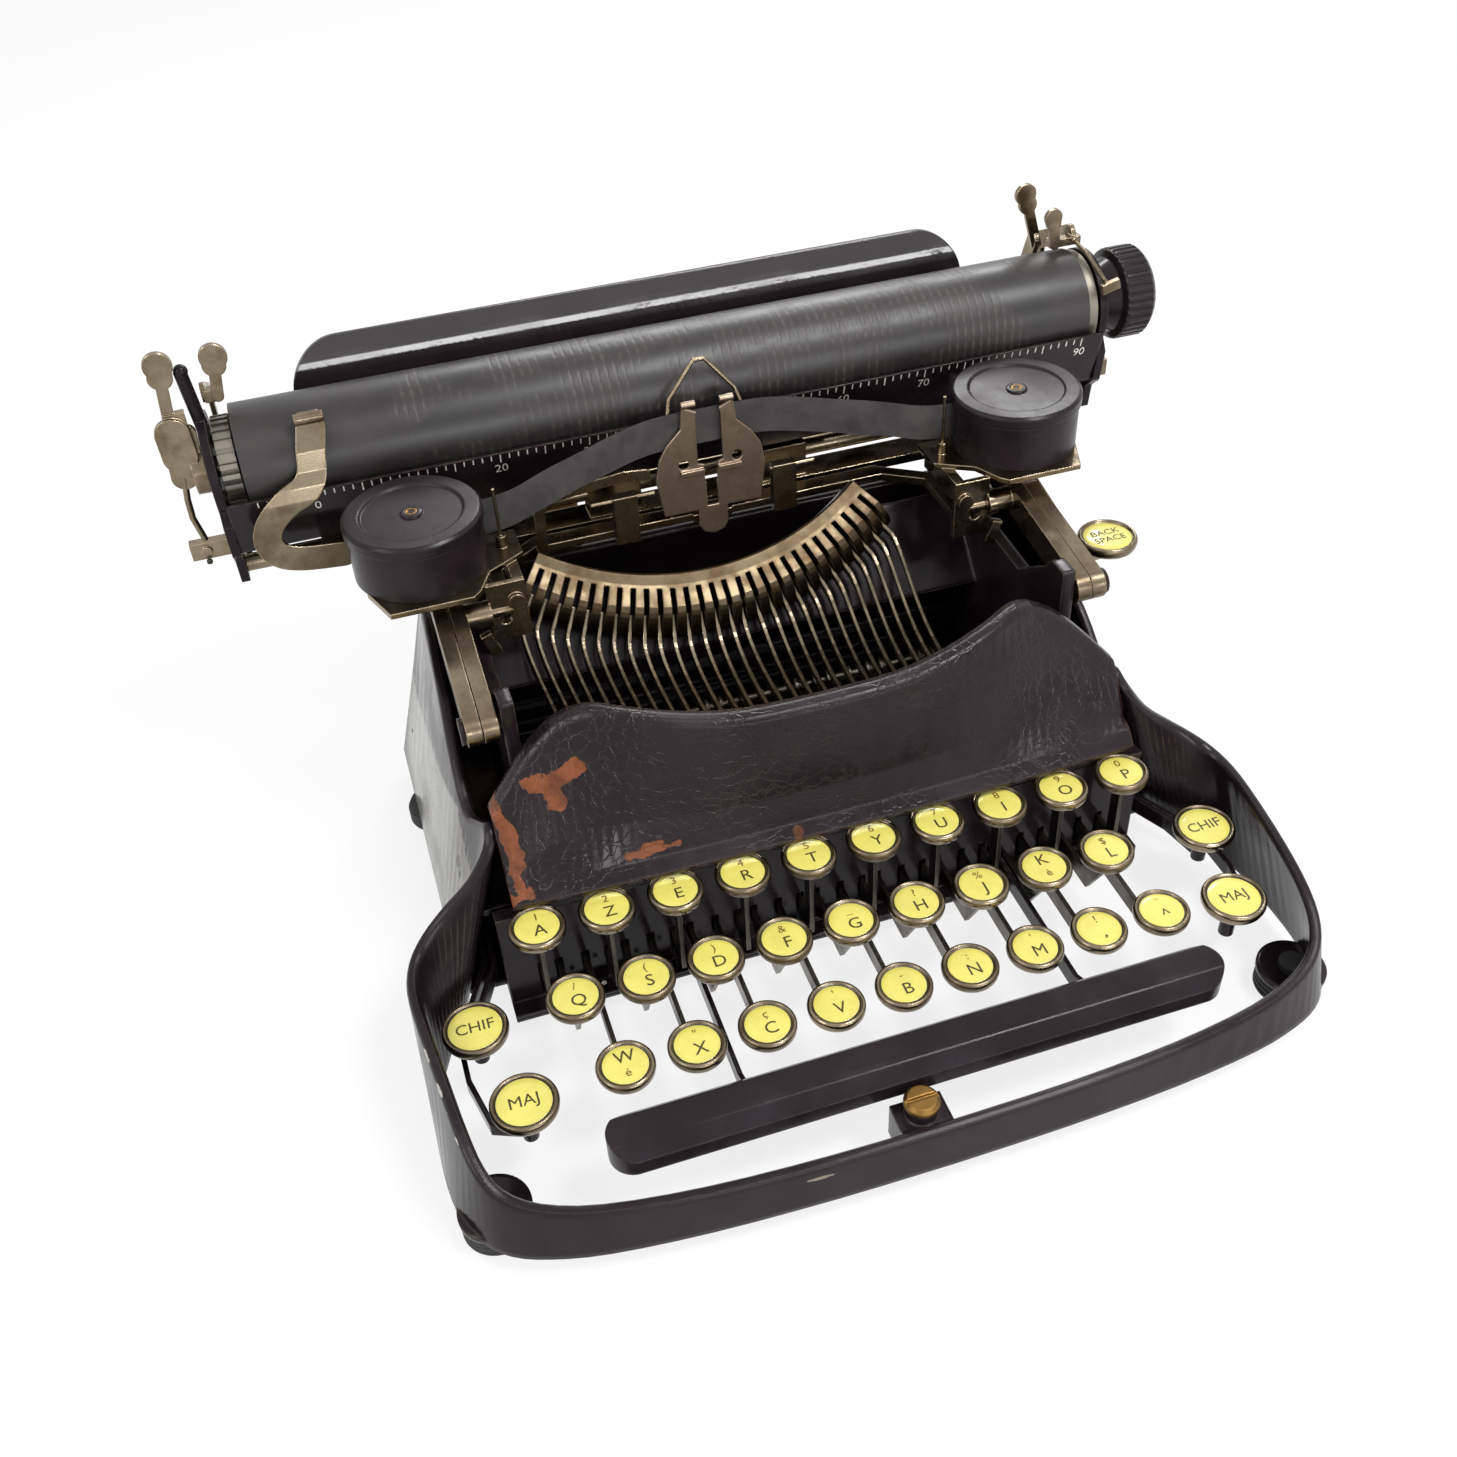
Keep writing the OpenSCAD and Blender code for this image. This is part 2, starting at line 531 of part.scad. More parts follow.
// FOLDING FRAME
inner_arm_x = 79;
outer_arm_x = inner_arm_x + arm_w + 0.3;
plate_z = 94.6;
plate_t = 1.5;
can_y = 144.2;
function arm_at(y) = fold_z + (y - fold_y) * tan(arm_rise);
needle_x = 64.6;
rail_y = 163.4;
rail_top = 81;
guide_y = 158.9;
card_y = 164.05;
module can_plate() linear_extrude(plate_t) polygon([[76, 124], [98, 124], [102.4, 136], [102.4, 143], [98, 152],
  [60, 152], [60, 140], [70, 134], [74, 126]]);
module wire(points, d) for (i = [0 : len(points) - 2]) {
  a = points[i];
  b = points[i + 1];
  v = b - a;
  translate(a) sphere(d = d, $fn = 12);
  translate(b) sphere(d = d, $fn = 12);
  translate(a) rotate([0, acos(v.z / norm(v)), atan2(v.y, v.x)]) cylinder(d = d, h = norm(v), $fn = 12);
}
module fold_frame() {
  color(nickel) for (s = [-1, 1]) mirror([s < 0 ? 1 : 0, 0, 0]) {
    // inner arm with its round front end
    difference() {
      across(inner_arm_x, arm_w) link_2d([fold_y, fold_z], [146, arm_at(146)], arm_h);
      x_rod(0, 100, fold_y, fold_z, pivot_d + 2 * fit);
    }
    translate([inner_arm_x, 130, arm_at(130)]) cube([arm_w, 16, plate_z - arm_at(130) + 0.2]);
    translate([0, 0, plate_z]) can_plate();
    // bracket beside the arm, with its round nut
    difference() {
      translate([62, 129, 77]) linear_extrude(plate_z - 77 + 0.2) square([10.5, 1.6]);
      translate([68.5, 128, 83.5]) rotate([-90, 0, 0]) cylinder(d = 3.4, h = 4);
    }
    translate([62, 129, plate_z - 6]) cube([3, 22, 6.2]);
    x_rod(72, inner_arm_x + 0.2, 129.8, 86, 7);
    x_rod(66, 72.4, 129.8, 86, 3);
    translate([71, 126.5, 75]) rotate([0, 20, 0]) cube([3, 2, 7]);
    translate([65, 127.6, 89]) rotate([-90, 0, 0]) cylinder(d = 4.6, h = 2);
    // link from the cross rail to the bracket
    translate([0, 0, rail_top - 2.4]) linear_extrude(2.4) plan_path([[52, 167], [66.6, 157], [66.8, 131]], 4);
    // ribbon guide wire on its post
    translate([needle_x, can_y + 0.6, plate_z]) cylinder(d = 3, h = 5);
    translate([needle_x, can_y + 0.6, plate_z]) cylinder(d = 0.9, h = 19.4);
  }
  color(nickel) {
    translate([-52, rail_y, rail_top - 2.4]) cube([106, 5.4, 2.4]);
    translate([-6, guide_y + 3.6, rail_top - 2.4]) cube([12, rail_y - guide_y - 3, 2.4]);
    // guide blocks with their rods, and the bent strap on the left
    x_rod(-36.4, -17.5, guide_y + 1.8, 92.6, 1.6);
    x_rod(17.5, 31, guide_y + 1.8, 92.6, 1.6);
    for (x = [-30, 18]) {
      translate([x, guide_y, rail_top - 2.4]) cube([7, rail_y - guide_y + 0.6, 2.4]);
      translate([x, guide_y, rail_top - 1]) cube([7, 3.2, 14]);
    }
    translate([0, guide_y + 3, 0]) rotate([90, 0, 0]) linear_extrude(1)
      plan_path([[-19.6, 98.9], [-26, 99.6], [-37, 98.6], [-47.6, 97.6], [-51, 94.4], [-51.4, 80]], 3.2);
    translate([-53, guide_y + 2, rail_top - 2.4]) cube([3.2, rail_y - guide_y, 2.4]);
  }
  // card holder wire
  color(steel) wire([[-12, card_y, rail_top - 1], [-11, card_y, 114.6], [-10, card_y + 1.6, 118], [-1.6, 168, 127.4],
    [1.6, 168, 127.4], [9.4, card_y + 1.6, 118], [10.4, card_y, 114.6], [11.4, card_y, rail_top - 1]], 1.2);
}

// LIFTING FRAME
// It carries the carriage, turns on the fold pivots and stays below the carriage.
block_x = 18;
block_w = 16;
block_d = 6.8;
rod_y = [179, 197];
rod_z = 86;
beam_z = 76;
module lift_frame() color(nickel) {
  for (s = [-1, 1]) mirror([s < 0 ? 1 : 0, 0, 0]) {
    difference() {
      across(outer_arm_x, arm_w) union() {
        link_2d([fold_y, fold_z], [128, arm_at(128)], arm_h);
        polygon([[127, arm_at(127) - arm_h / 2], [131, arm_at(131) - arm_h / 2], [148, arm_at(148) - arm_h / 2 - 1],
          [163, beam_z], [206, beam_z], [206, beam_z + 4.5], [166, beam_z + 4.5], [150, arm_at(148)],
          [131, arm_at(131)], [127, arm_at(127) + arm_h / 2]]);
      }
      x_rod(0, 100, fold_y, fold_z, pivot_d + 2 * fit);
    }
    for (y = rod_y) difference() {
      translate([block_x, y - block_d / 2, beam_z + 1]) cube([block_w, block_d, rod_z - beam_z + 2.6]);
      x_rod(0, 100, y, rod_z, rail_d + 2 * fit);
    }
  }
  for (y = rod_y) translate([-outer_arm_x - arm_w, y - 5, beam_z]) cube([2 * (outer_arm_x + arm_w), 10, 3]);
  // post for the spring drum
  translate([drum_x, drum_y, drum_z - 1]) cylinder(d = 4, h = beam_z - drum_z + 2);
}
drum_x = -50;
drum_y = 197;
drum_z = 63;
drum_h = 11;
module spring_drum() color(brass) translate([drum_x, drum_y, drum_z]) rotate_extrude() {
  polygon([[2 + fit, 0], [16, 0], [16, 1.2], [15, 1.8], [15, drum_h - 1.8], [16, drum_h - 1.2], [16, drum_h],
    [2 + fit, drum_h]]);
}

// RIBBON CANS, SPOOLS AND RIBBON
can_z = plate_z + plate_t;
lid_h = 3.4;
spool_pin_d = 3;
module ribbon_can(s) {
  translate([s * can_x, can_y, can_z]) {
    color(enamel) difference() {
      cylinder(d = can_d - 1, h = can_h - lid_h, $fn = 72);
      translate([0, 0, 1]) cylinder(d = can_d - 3, h = can_h, $fn = 72);
      translate([s > 0 ? -can_d : 0, 2, 1.4]) cube([can_d, 8, can_h]);
    }
    color(enamel) cylinder(d = spool_pin_d, h = can_h - 0.8);
    color(enamel) translate([0, 0, can_h - lid_h + 0.3]) difference() {
      rotate_extrude($fn = 72) polygon([[0, lid_h - 1.7], [can_d / 2 - 5, lid_h - 1.7], [can_d / 2 - 4.2, lid_h - 1],
        [can_d / 2 - 4.2, 0], [can_d / 2, 0], [can_d / 2, lid_h - 0.8], [can_d / 2 - 0.8, lid_h],
        [can_d / 2 - 4.6, lid_h], [can_d / 2 - 5.2, lid_h - 0.7], [3, lid_h - 0.7], [2.2, lid_h - 0.1],
        [0, lid_h - 0.1]]);
      translate([-3, -0.4, lid_h - 0.6]) cube([6, 0.8, 2]);
    }
  }
}
module ribbon_cans() {
  ribbon_can(-1);
  ribbon_can(1);
}
spool_z = can_z + 1.2;
coil_d = 24;
module spool(s) {
  translate([s * can_x, can_y, spool_z]) {
    color(steel) rotate_extrude() polygon([[spool_pin_d / 2 + fit, 0], [coil_d / 2 + 2.5, 0],
      [coil_d / 2 + 2.5, 0.5], [4, 0.5], [4, ribbon_w - 1.3], [spool_pin_d / 2 + fit, ribbon_w - 1.3]]);
    color(ribbon_grey) translate([0, 0, 0.5]) difference() {
      cylinder(d = coil_d, h = ribbon_w - 1.8);
      translate([0, 0, -1]) cylinder(d = 8, h = ribbon_w);
    }
  }
}
// Half of the ribbon's path from the middle to the right can: x, y and height of the middle line
ribbon_run = [[0, 163, 109.6], [10, 163, 109.6], [20, 162.1, 109.2], [34, 158.4, 107.6], [50, 152.8, 105.8],
  [60, 149.6, 104.2], [can_x - can_d / 2 + 1, 149.2, 103.4], [can_x - 11, can_y + 6.6, 103.4]];
half_ribbon = smooth(ribbon_run, 3);
ribbon_t = 0.3;
ribbon_half = ribbon_w / 2 - 0.9;
function ribbon_ring(p) = [[p.x, p.y, p.z - ribbon_half], [p.x, p.y, p.z + ribbon_half],
  [p.x, p.y + ribbon_t, p.z + ribbon_half], [p.x, p.y + ribbon_t, p.z - ribbon_half]];
module ribbon() color(ribbon_grey) skin([for (p = concat(
  [for (k = [len(half_ribbon) - 1 : -1 : 1]) [-half_ribbon[k].x, half_ribbon[k].y, half_ribbon[k].z]],
  half_ribbon)) ribbon_ring(p)]);

// RIBBON VIBRATOR
vibrator_y = 161.4;
module vibrator_half() polygon([[0, 92], [1.9, 92], [2.2, 98], [3.8, 98.6], [3.8, 112.6], [3.4, 115],
  [7.6, 117], [8.2, 110.4], [12.6, 106], [15.2, 101.6], [16.4, 95.4], [15.4, 88], [14.6, 83.2], [4.4, 83.2],
  [4.3, 77.6], [3, 75.4], [0, 74.4]]);
module ribbon_vibrator() color(nickel) {
  translate([0, vibrator_y + 1, 0]) rotate([90, 0, 0]) linear_extrude(1) difference() {
    union() {
      vibrator_half();
      mirror([1, 0]) vibrator_half();
    }
    translate([-1.7, 84]) square([3.4, 11]);
    for (s = [-1, 1]) translate([s * 8, 99]) circle(d = 3.2);
  }
  // cross bar and the curled prongs over the ribbon's upper edge
  for (s = [-1, 1]) translate([s * 5.6 - 3.4, vibrator_y - 1, 95.4]) cube([6.8, 1.1, 1.6]);
  for (s = [-1, 1]) translate([s * 5.6, vibrator_y + 0.4, 117.6]) rotate([0, 90, 0])
    cylinder(d = 2, h = 4, center = true, $fn = 20);
}

// BACK SPACE KEY
back_key = [100.6, 109.6, 80.6];
back_pivot = [150, 85];
module backspace_key() {
  color(nickel) difference() {
    union() {
      across(91, 1.6) link_2d([back_pivot.x, back_pivot.y], [112, 77], 5);
      translate([0, 0, 74.5]) linear_extrude(2.2) plan_path([[91.8, 114], [93.5, 109], [back_key.x, back_key.y]], 4);
    }
    x_rod(80, 100, back_pivot.x, back_pivot.y, 2.5 + 2 * fit);
  }
  translate(back_key) key_top(shift_key_d);
}
module back_lug() color(nickel) {
  translate([88.6, back_pivot.x - 3.5, back_pivot.y - 3.5]) cube([1.6, 7, plate_z - back_pivot.y + 3.7]);
  x_rod(88.6, 93.4, back_pivot.x, back_pivot.y, 2.5);
}

// CARRIAGE
end_t = 2.4;
left_end_x = -135.2;
right_end_x = 126.4;
module end_outline() difference() {
  union() {
    translate([platen_y, platen_z]) circle(d = platen_d - 1);
    polygon([[175, rod_z - 3.6], [205.4, rod_z - 3.6], [205.4, 98], [202, 112], [platen_y, platen_z],
      [platen_y - 14, platen_z - 6], [scale_y + 1.9, scale_top - 7.4],
      [scale_y + 3.4, scale_top - 17.4], [174, rod_z + 4]]);
  }
  translate([platen_y, platen_z]) circle(d = platen_shaft_d + 2 * fit);
}
bar_y = 184.4;
bar_z = 86.4;
bar_t = 3;
bar_h = 5.2;
bar_ends = [-147, 139.6];
module carriage_frame() {
  color(enamel) {
    for (x = [left_end_x, right_end_x]) across(x, end_t) end_outline();
    // black pin beside the spoon levers
    translate([left_end_x + 1.4, platen_y - 1, platen_z + 12]) rotate([0, -5, 0]) cylinder(d = 3.6, h = 17.5);
    translate([left_end_x + 0.1, platen_y - 1, platen_z + 29.4]) sphere(d = 3.8, $fn = 20);
  }
  color(nickel) {
    for (y = rod_y) x_rod(left_end_x, right_end_x + end_t, y, rod_z, rail_d);
    translate([bar_ends[0], bar_y, bar_z]) cube([bar_ends[1] - bar_ends[0], bar_t, bar_h]);
    for (x = [bar_ends[0] + 4.4, bar_ends[0] + 15.5, bar_ends[1] - 4]) translate([x, bar_y + 0.2, bar_z + bar_h / 2])
      rotate([90, 0, 0]) cylinder(d = 3, h = 1);
    across(right_end_x + end_t - 0.1, 1.2) link_2d([178, 103], [bar_y + 1, bar_z + 2], 5);
  }
}
module margin_stops() color(nickel) for (s = [-1, 1]) translate([s * 66 - 4, 0, 0]) across(0, 8) difference() {
  translate([bar_y - 1.4, bar_z - 1.4]) square([bar_t + 2.8, bar_h + 2.8]);
  translate([bar_y - fit, bar_z - fit]) square([bar_t + 2 * fit, bar_h + 2 * fit]);
}
platen_x = [-126.5, -126.5 + platen_len];
ratchet_x = -131.8;
module platen() {
  color(rubber) x_rod(platen_x[0], platen_x[1], platen_y, platen_z, platen_d, $fn = 96);
  color(steel) {
    x_rod(-141, knob_x + 16.6, platen_y, platen_z, platen_shaft_d);
    // ratchet wheel at the left and end cap at the right
    across(ratchet_x, 4.6) translate([platen_y, platen_z]) difference() {
      circle(d = 27);
      for (k = [0 : 29]) rotate(k * 12) translate([12.6, 0]) rotate(20) square([3, 1.5]);
    }
    x_rod(platen_x[1], platen_x[1] + 3, platen_y, platen_z, platen_d - 1.6);
  }
}
knob_x = 129.6;
module platen_knob() color(enamel) translate([knob_x, platen_y, platen_z]) rotate([0, 90, 0]) {
  difference() {
    rotate_extrude($fn = 72) polygon([[platen_shaft_d / 2, 0], [8, 0], [knob_d / 2 - 2.6, 6.4], [knob_d / 2 - 0.4, 7.2],
      [knob_d / 2, 8], [knob_d / 2, 15.4], [knob_d / 2 - 1.6, 17], [knob_d / 2 - 4.6, 17],
      [knob_d / 2 - 6, 16], [platen_shaft_d / 2, 16]]);
    for (k = [0 : 35]) rotate(k * 10) translate([knob_d / 2 + 0.3, 0, 6]) cylinder(d = 1.6, h = 13, $fn = 12);
  }
}

// PAPER TABLE, SCALE AND FEED ROLLS
table_x = -7;
table_t = 1.2;
// A strip of even width along a curve, with round ends.
function across_at(p, i) =
  let (v = p[min(i + 1, len(p) - 1)] - p[max(i - 1, 0)])
  [-v.y, v.x] / norm(v);
module band(points, t) {
  polygon(concat([for (i = [0 : len(points) - 1]) points[i] + across_at(points, i) * t / 2],
    [for (i = [len(points) - 1 : -1 : 0]) points[i] - across_at(points, i) * t / 2]));
  for (p = [points[0], points[len(points) - 1]]) translate(p) circle(d = t - 2 * side_in);
}
table_curve = smooth([[207, 135.4], [204.4, 129.6], [202.9, 122], [202.6, 112], [203.6, 100], [203.8, 88]], 4);
module paper_table() color(enamel) {
  intersection() {
    across(table_x - table_w / 2, table_w) band(table_curve, table_t);
    translate([0, 240, 0]) rotate([90, 0, 0]) linear_extrude(60) union() {
      for (s = [-1, 1]) translate([table_x + s * (table_w / 2 - 15), 120.6]) circle(r = 15);
      translate([table_x - table_w / 2 + 15, 84]) square([table_w - 30, 51.6]);
      translate([table_x - table_w / 2, 84]) square([table_w, 36.6]);
    }
  }
  translate([left_end_x + end_t, 203.2, 86.6]) cube([right_end_x - left_end_x - end_t, 1.6, 6.4]);
}
scale_y = 166.6;
scale_top = 111.4;
module paper_scale() color(enamel) {
  difference() {
    across(left_end_x + end_t, right_end_x - left_end_x - end_t)
      polygon([[scale_y, scale_top], [scale_y + 1.2, scale_top], [scale_y + 5.8, scale_top - 17.4],
      [scale_y + 4.6, scale_top - 17.4]]);
  }
}
roll_d = 8;
roll_gap = 0.4;
roll_r = (platen_d + roll_d) / 2 + roll_gap;
rolls = [[platen_y - roll_r * sin(24), platen_z - roll_r * cos(24)],
         [platen_y + roll_r * sin(24), platen_z - roll_r * cos(24)]];
roll_pivot = [200, 97];
module feed_rollers() {
  for (r = rolls) {
    color(steel) x_rod(-118, 118, r.x, r.y, 3);
    for (x = [-88, -30, 30, 88]) color(rubber) x_rod(x - 12, x + 12, r.x, r.y, roll_d);
  }
  color(steel) for (x = [-119.4, 118]) across(x, 1.4) difference() {
    union() {
      link_2d(rolls[0], rolls[1], 4.6);
      link_2d(rolls[1], roll_pivot, 4.6);
    }
    translate(roll_pivot) circle(d = 2 + 2 * fit);
  }
}
module roll_pins() color(steel) {
  x_rod(left_end_x + 0.5, -116, roll_pivot.x, roll_pivot.y, 2);
  x_rod(116, right_end_x + 0.5, roll_pivot.x, roll_pivot.y, 2);
}

// LEVERS AT THE CARRIAGE'S ENDS
// A spoon standing in the x-z plane, from its foot p to the middle of its head q
module spoon(p, q, y, w) translate([0, y + 0.7, 0]) rotate([90, 0, 0]) linear_extrude(1.4) {
  link_2d(p, q, 3.2);
  translate(q) circle(d = w);
  translate(q * 0.8 + p * 0.2) circle(d = w * 0.86);
}
module line_space_lever() {
  color(nickel) {
    difference() {
      union() {
        x_rod(-139.6, -135.8, platen_y, platen_z, 13);
        translate([-142.6, platen_y - 3.4, platen_z - 1]) cube([5.4, 2.4, 20]);
      }
      x_rod(-150, -130, platen_y, platen_z, platen_shaft_d + 2 * fit);
    }
    spoon([-141.6, platen_z + 16], [-140.2, platen_z + 32.4], platen_y - 2, 7.6);
    // the two bean-shaped plates and the bent rod below them
    translate([0, platen_y - 3, 0]) rotate([90, 0, 0]) linear_extrude(1.6) {
      link_2d([-141.6, platen_z + 13.6], [-141.4, platen_z + 7], 9.2);
      link_2d([-141.4, platen_z + 7], [-141.8, platen_z + 1], 7.2);
    }
    translate([0, platen_y - 0.6, 0]) rotate([90, 0, 0]) linear_extrude(1.4)
      link_2d([-138.2, platen_z + 12], [-138.6, platen_z + 6.2], 5);
    wire([[-142, platen_y - 3.8, platen_z + 1], [-143, platen_y - 3.8, platen_z - 6],
      [-143.2, platen_y - 3.8, platen_z - 12], [-141.8, platen_y - 3.8, platen_z - 19]], 1.8);
  }
}
release_y = 208.4;
release_z = 110;
module carriage_release() color(nickel) {
  x_rod(left_end_x, right_end_x + end_t, release_y, release_z, 2.6);
  for (x = [-132.2, 124.4]) across(x, 1.4) {
    link_2d([release_y, release_z], [209.5, 124], 5.4);
    link_2d([209.5, 124], [191, platen_z + 19.2], 5.4);
  }
  translate([-131.5, 187.4, platen_z + 17.6]) cube([4, 3, 3.4]);
  spoon([-128, platen_z + 19], [-126.5, platen_z + 30], 188, 7.4);
  // short paddle, bent wire and low paddle at the right
  translate([117, 187.4, platen_z + 17]) cube([10, 3, 2.4]);
  spoon([118.6, platen_z + 18], [117.4, platen_z + 26.4], 188, 5.4);
  wire([[125, 188, platen_z + 18.2], [125.4, 180, platen_z + 17], [126.6, 171, platen_z + 12.6],
    [128.4, 169.4, platen_z + 10.4]], 1.3);
  translate([125.8, 168.6, platen_z + 8.6]) rotate([0, -14, 0]) cube([5.6, 1.4, 3]);
}
module release_pins() color(enamel) for (x = [left_end_x, right_end_x]) difference() {
  across(x, end_t) link_2d([200, 108], [release_y, release_z], 7);
  x_rod(left_end_x - 10, right_end_x + 10, release_y, release_z, 2.6 + 2 * fit);
}
release_pin = [204.6, 117];
release_x = 117;
module paper_release() color(nickel) {
  difference() {
    across(release_x, 1.6) link_2d(release_pin, [199.6, 129], 5.4);
    x_rod(100, 140, release_pin.x, release_pin.y, 2.5 + 2 * fit);
  }
  spoon([release_x + 1.2, 128], [113.4, 144], 199, 6.6);
}
module paper_release_pin() color(nickel) {
  x_rod(release_x - 0.6, right_end_x + 0.5, release_pin.x, release_pin.y, 2.5);
  across(right_end_x, end_t) link_2d([198, 108], [release_pin.x, release_pin.y], 6);
}

// PAPER FINGER
finger_section = [[175.4, 129.8], [171.8, 128], [168.6, 122], [167.2, 117], [165.6, 113.4], [164.6, 110],
                  [164.4, 104], [164.4, 86]];
finger_path = smooth([[-106.4, 127.4], [-108, 121.6], [-108.8, 117], [-111.4, 113], [-117.4, 110],
                      [-122.6, 105.4], [-124.6, 100], [-122.4, 95.2], [-116.6, 92.8], [-106, 91.6]], 4);
module paper_finger() color(nickel) {
  intersection() {
    across(-130, 40) band(finger_section, 0.9);
    translate([0, 200, 0]) rotate([90, 0, 0]) linear_extrude(50) band(finger_path, 7.6);
  }
  translate([-111, 164, rod_z + 5.2]) cube([7, bar_y - 164, 1.4]);
  translate([-111, bar_y - 1.6, bar_z]) cube([7, 1.5, 6.2]);
}

seated() base_frame();
seated() front_shield();
seated() rubber_feet();
seated() lever_comb();
seated() lever_shaft();
seated() {
  type_segment();
  middle_pin();
}
seated() type_bars();
seated() middle_type_bar();
seated() space_bar();
for (i = [0 : len(letters) - 1]) seated() letter_key(i);
seated() figures_shift();
seated() capitals_shift();
seated() front_screw();
seated() { fold_frame(); back_lug(); }
seated() lift_frame();
seated() ribbon_cans();
seated() spool(-1);  // left_spool
seated() spool(1);  // right_spool
seated() ribbon();
seated() ribbon_vibrator();
seated() backspace_key();
seated() {
  carriage_frame();
  roll_pins();
  release_pins();
  paper_release_pin();
}
seated() platen();
seated() platen_knob();
seated() paper_table();
seated() paper_scale();
seated() feed_rollers();
seated() line_space_lever();
seated() carriage_release();
seated() paper_release();
seated() paper_finger();
seated() margin_stops();
seated() spring_drum();
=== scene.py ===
"""Finishes and fine pieces for the folding portable typewriter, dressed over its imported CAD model."""

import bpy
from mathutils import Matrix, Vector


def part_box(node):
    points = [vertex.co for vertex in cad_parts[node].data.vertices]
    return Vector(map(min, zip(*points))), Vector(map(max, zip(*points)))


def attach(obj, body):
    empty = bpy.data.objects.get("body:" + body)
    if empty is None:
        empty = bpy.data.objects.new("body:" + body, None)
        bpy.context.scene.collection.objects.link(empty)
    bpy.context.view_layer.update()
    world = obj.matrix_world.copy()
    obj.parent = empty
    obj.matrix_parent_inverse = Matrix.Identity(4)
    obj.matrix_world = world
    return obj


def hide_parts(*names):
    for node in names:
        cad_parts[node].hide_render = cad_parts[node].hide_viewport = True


bl_info = {
    "name": "Folding Portable Typewriter",
    "version": (1, 0, 0),
    "blender": (4, 5, 0),
    "location": "View3D > Sidebar > Typewriter",
    "description": "Builds the finishes, keys, ribbon and stage of a folding portable typewriter",
    "category": "Object",
}

import math

import bpy
from mathutils import Matrix, Vector

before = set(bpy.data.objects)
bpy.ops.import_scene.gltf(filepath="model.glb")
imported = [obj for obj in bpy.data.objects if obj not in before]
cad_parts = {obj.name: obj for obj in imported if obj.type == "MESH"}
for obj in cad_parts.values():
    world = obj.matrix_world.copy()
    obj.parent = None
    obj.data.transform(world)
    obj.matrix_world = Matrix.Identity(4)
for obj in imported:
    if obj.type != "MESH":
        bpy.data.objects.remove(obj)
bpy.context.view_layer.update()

# Machine millimetres: x to the right, y to the rear from the space bar, z up from the table. Pairs are (y, z)
# for what runs across the machine, and (x, y) for the cans.
SPACE_BAR_TO_CENTRE = 96.7
ROW_Y = (55.4, 37.1, 19.0)
ROW_Z = (43.5, 35.7, 28.0)
ROW_X = (-81.5, -76.9, -69.8)
KEY_PITCH = 17.96
KEY_D = 14.4
SHIFT_KEY_D = 16.6
KEY_H = 3.6
RING_W = 1.2
LETTER_STEP = 2.54
PLATEN_AXIS = (185.0, 114.0)
PLATEN_X = (-126.5, 122.5)
SCALE_TOP = (166.6, 111.4)
SCALE_FOOT = (171.2, 94.0)
SCALE_FIRST = -58.6 - 26 * LETTER_STEP
SCALE_TICKS = 97
CAN_CENTRE = (86.5, 144.2)
CAN_R = 18.5
CAN_LID_FOOT = 109.4
CAN_BOSS_Z = 112.6
SHIFT_KEYS = (("figures", "CHIF", (102, 44.4, 25.4)), ("capitals", "MAJ", (95, 18.3, 26)))
BACK_SPACE_KEY = (100.6, 109.6, 80.6)
LEGEND_DROP = -0.2
LETTERING_SIZE = 1.4
RIBBON_HALF = ((0, 163, 109.6), (10, 163, 109.6), (20, 162.1, 109.2), (34, 158.4, 107.6), (50, 152.8, 105.8),
               (60, 149.6, 104.2), (69, 149.2, 103.4), (75.5, 150.8, 103.4))
RIBBON_WIDTH = 10.9
RIBBON_ROWS = 8

# Zones of one finish, in metres in the frame of the model. The line above the painted pale reflection on the side
# walls falls to the rear.
END_PLATES = ((-0.1354, -0.1326), (0.1262, 0.129))
PIN_X = -0.128
PIN_Z = 0.1265
WALL_OUT = 0.09
WALL_TOP = 0.0525
WALL_TOP_SOFT = 0.001
WALL_TOP_SLOPE = 0.172
DENTS_X = (-0.085, 0.104)
THREAD = 0.00045

# The stage: name, place, aim, size and power of each lamp, and the way the camera looks
LAMPS = (
    ("key light", (0.36, -0.37, 0.98), (0, 0, 0.05), (0.35, 0.22), 7.0),
    ("rear light", (0.27, 0.75, 0.62), (0, 0, 0.08), (0.5, 0.16), 4.0),
    ("front light", (0.19, -0.9, 0.27), (0, 0.1, 0.12), (0.7, 0.12), 2.6),
    ("left light", (-0.8, -0.3, 0.7), (0, 0, 0.05), (0.4, 0.4), 3.0),
)
CAMERA_RIGHT = (0.951, -0.306, -0.046)
CAMERA_UP = (0.233, 0.611, 0.757)
CAMERA_LOOK = (0.204, 0.730, -0.652)
FLOOR_REACH = 6.0
FLOOR_DROP = 0.0002
FLOOR_GLOW = 0.8

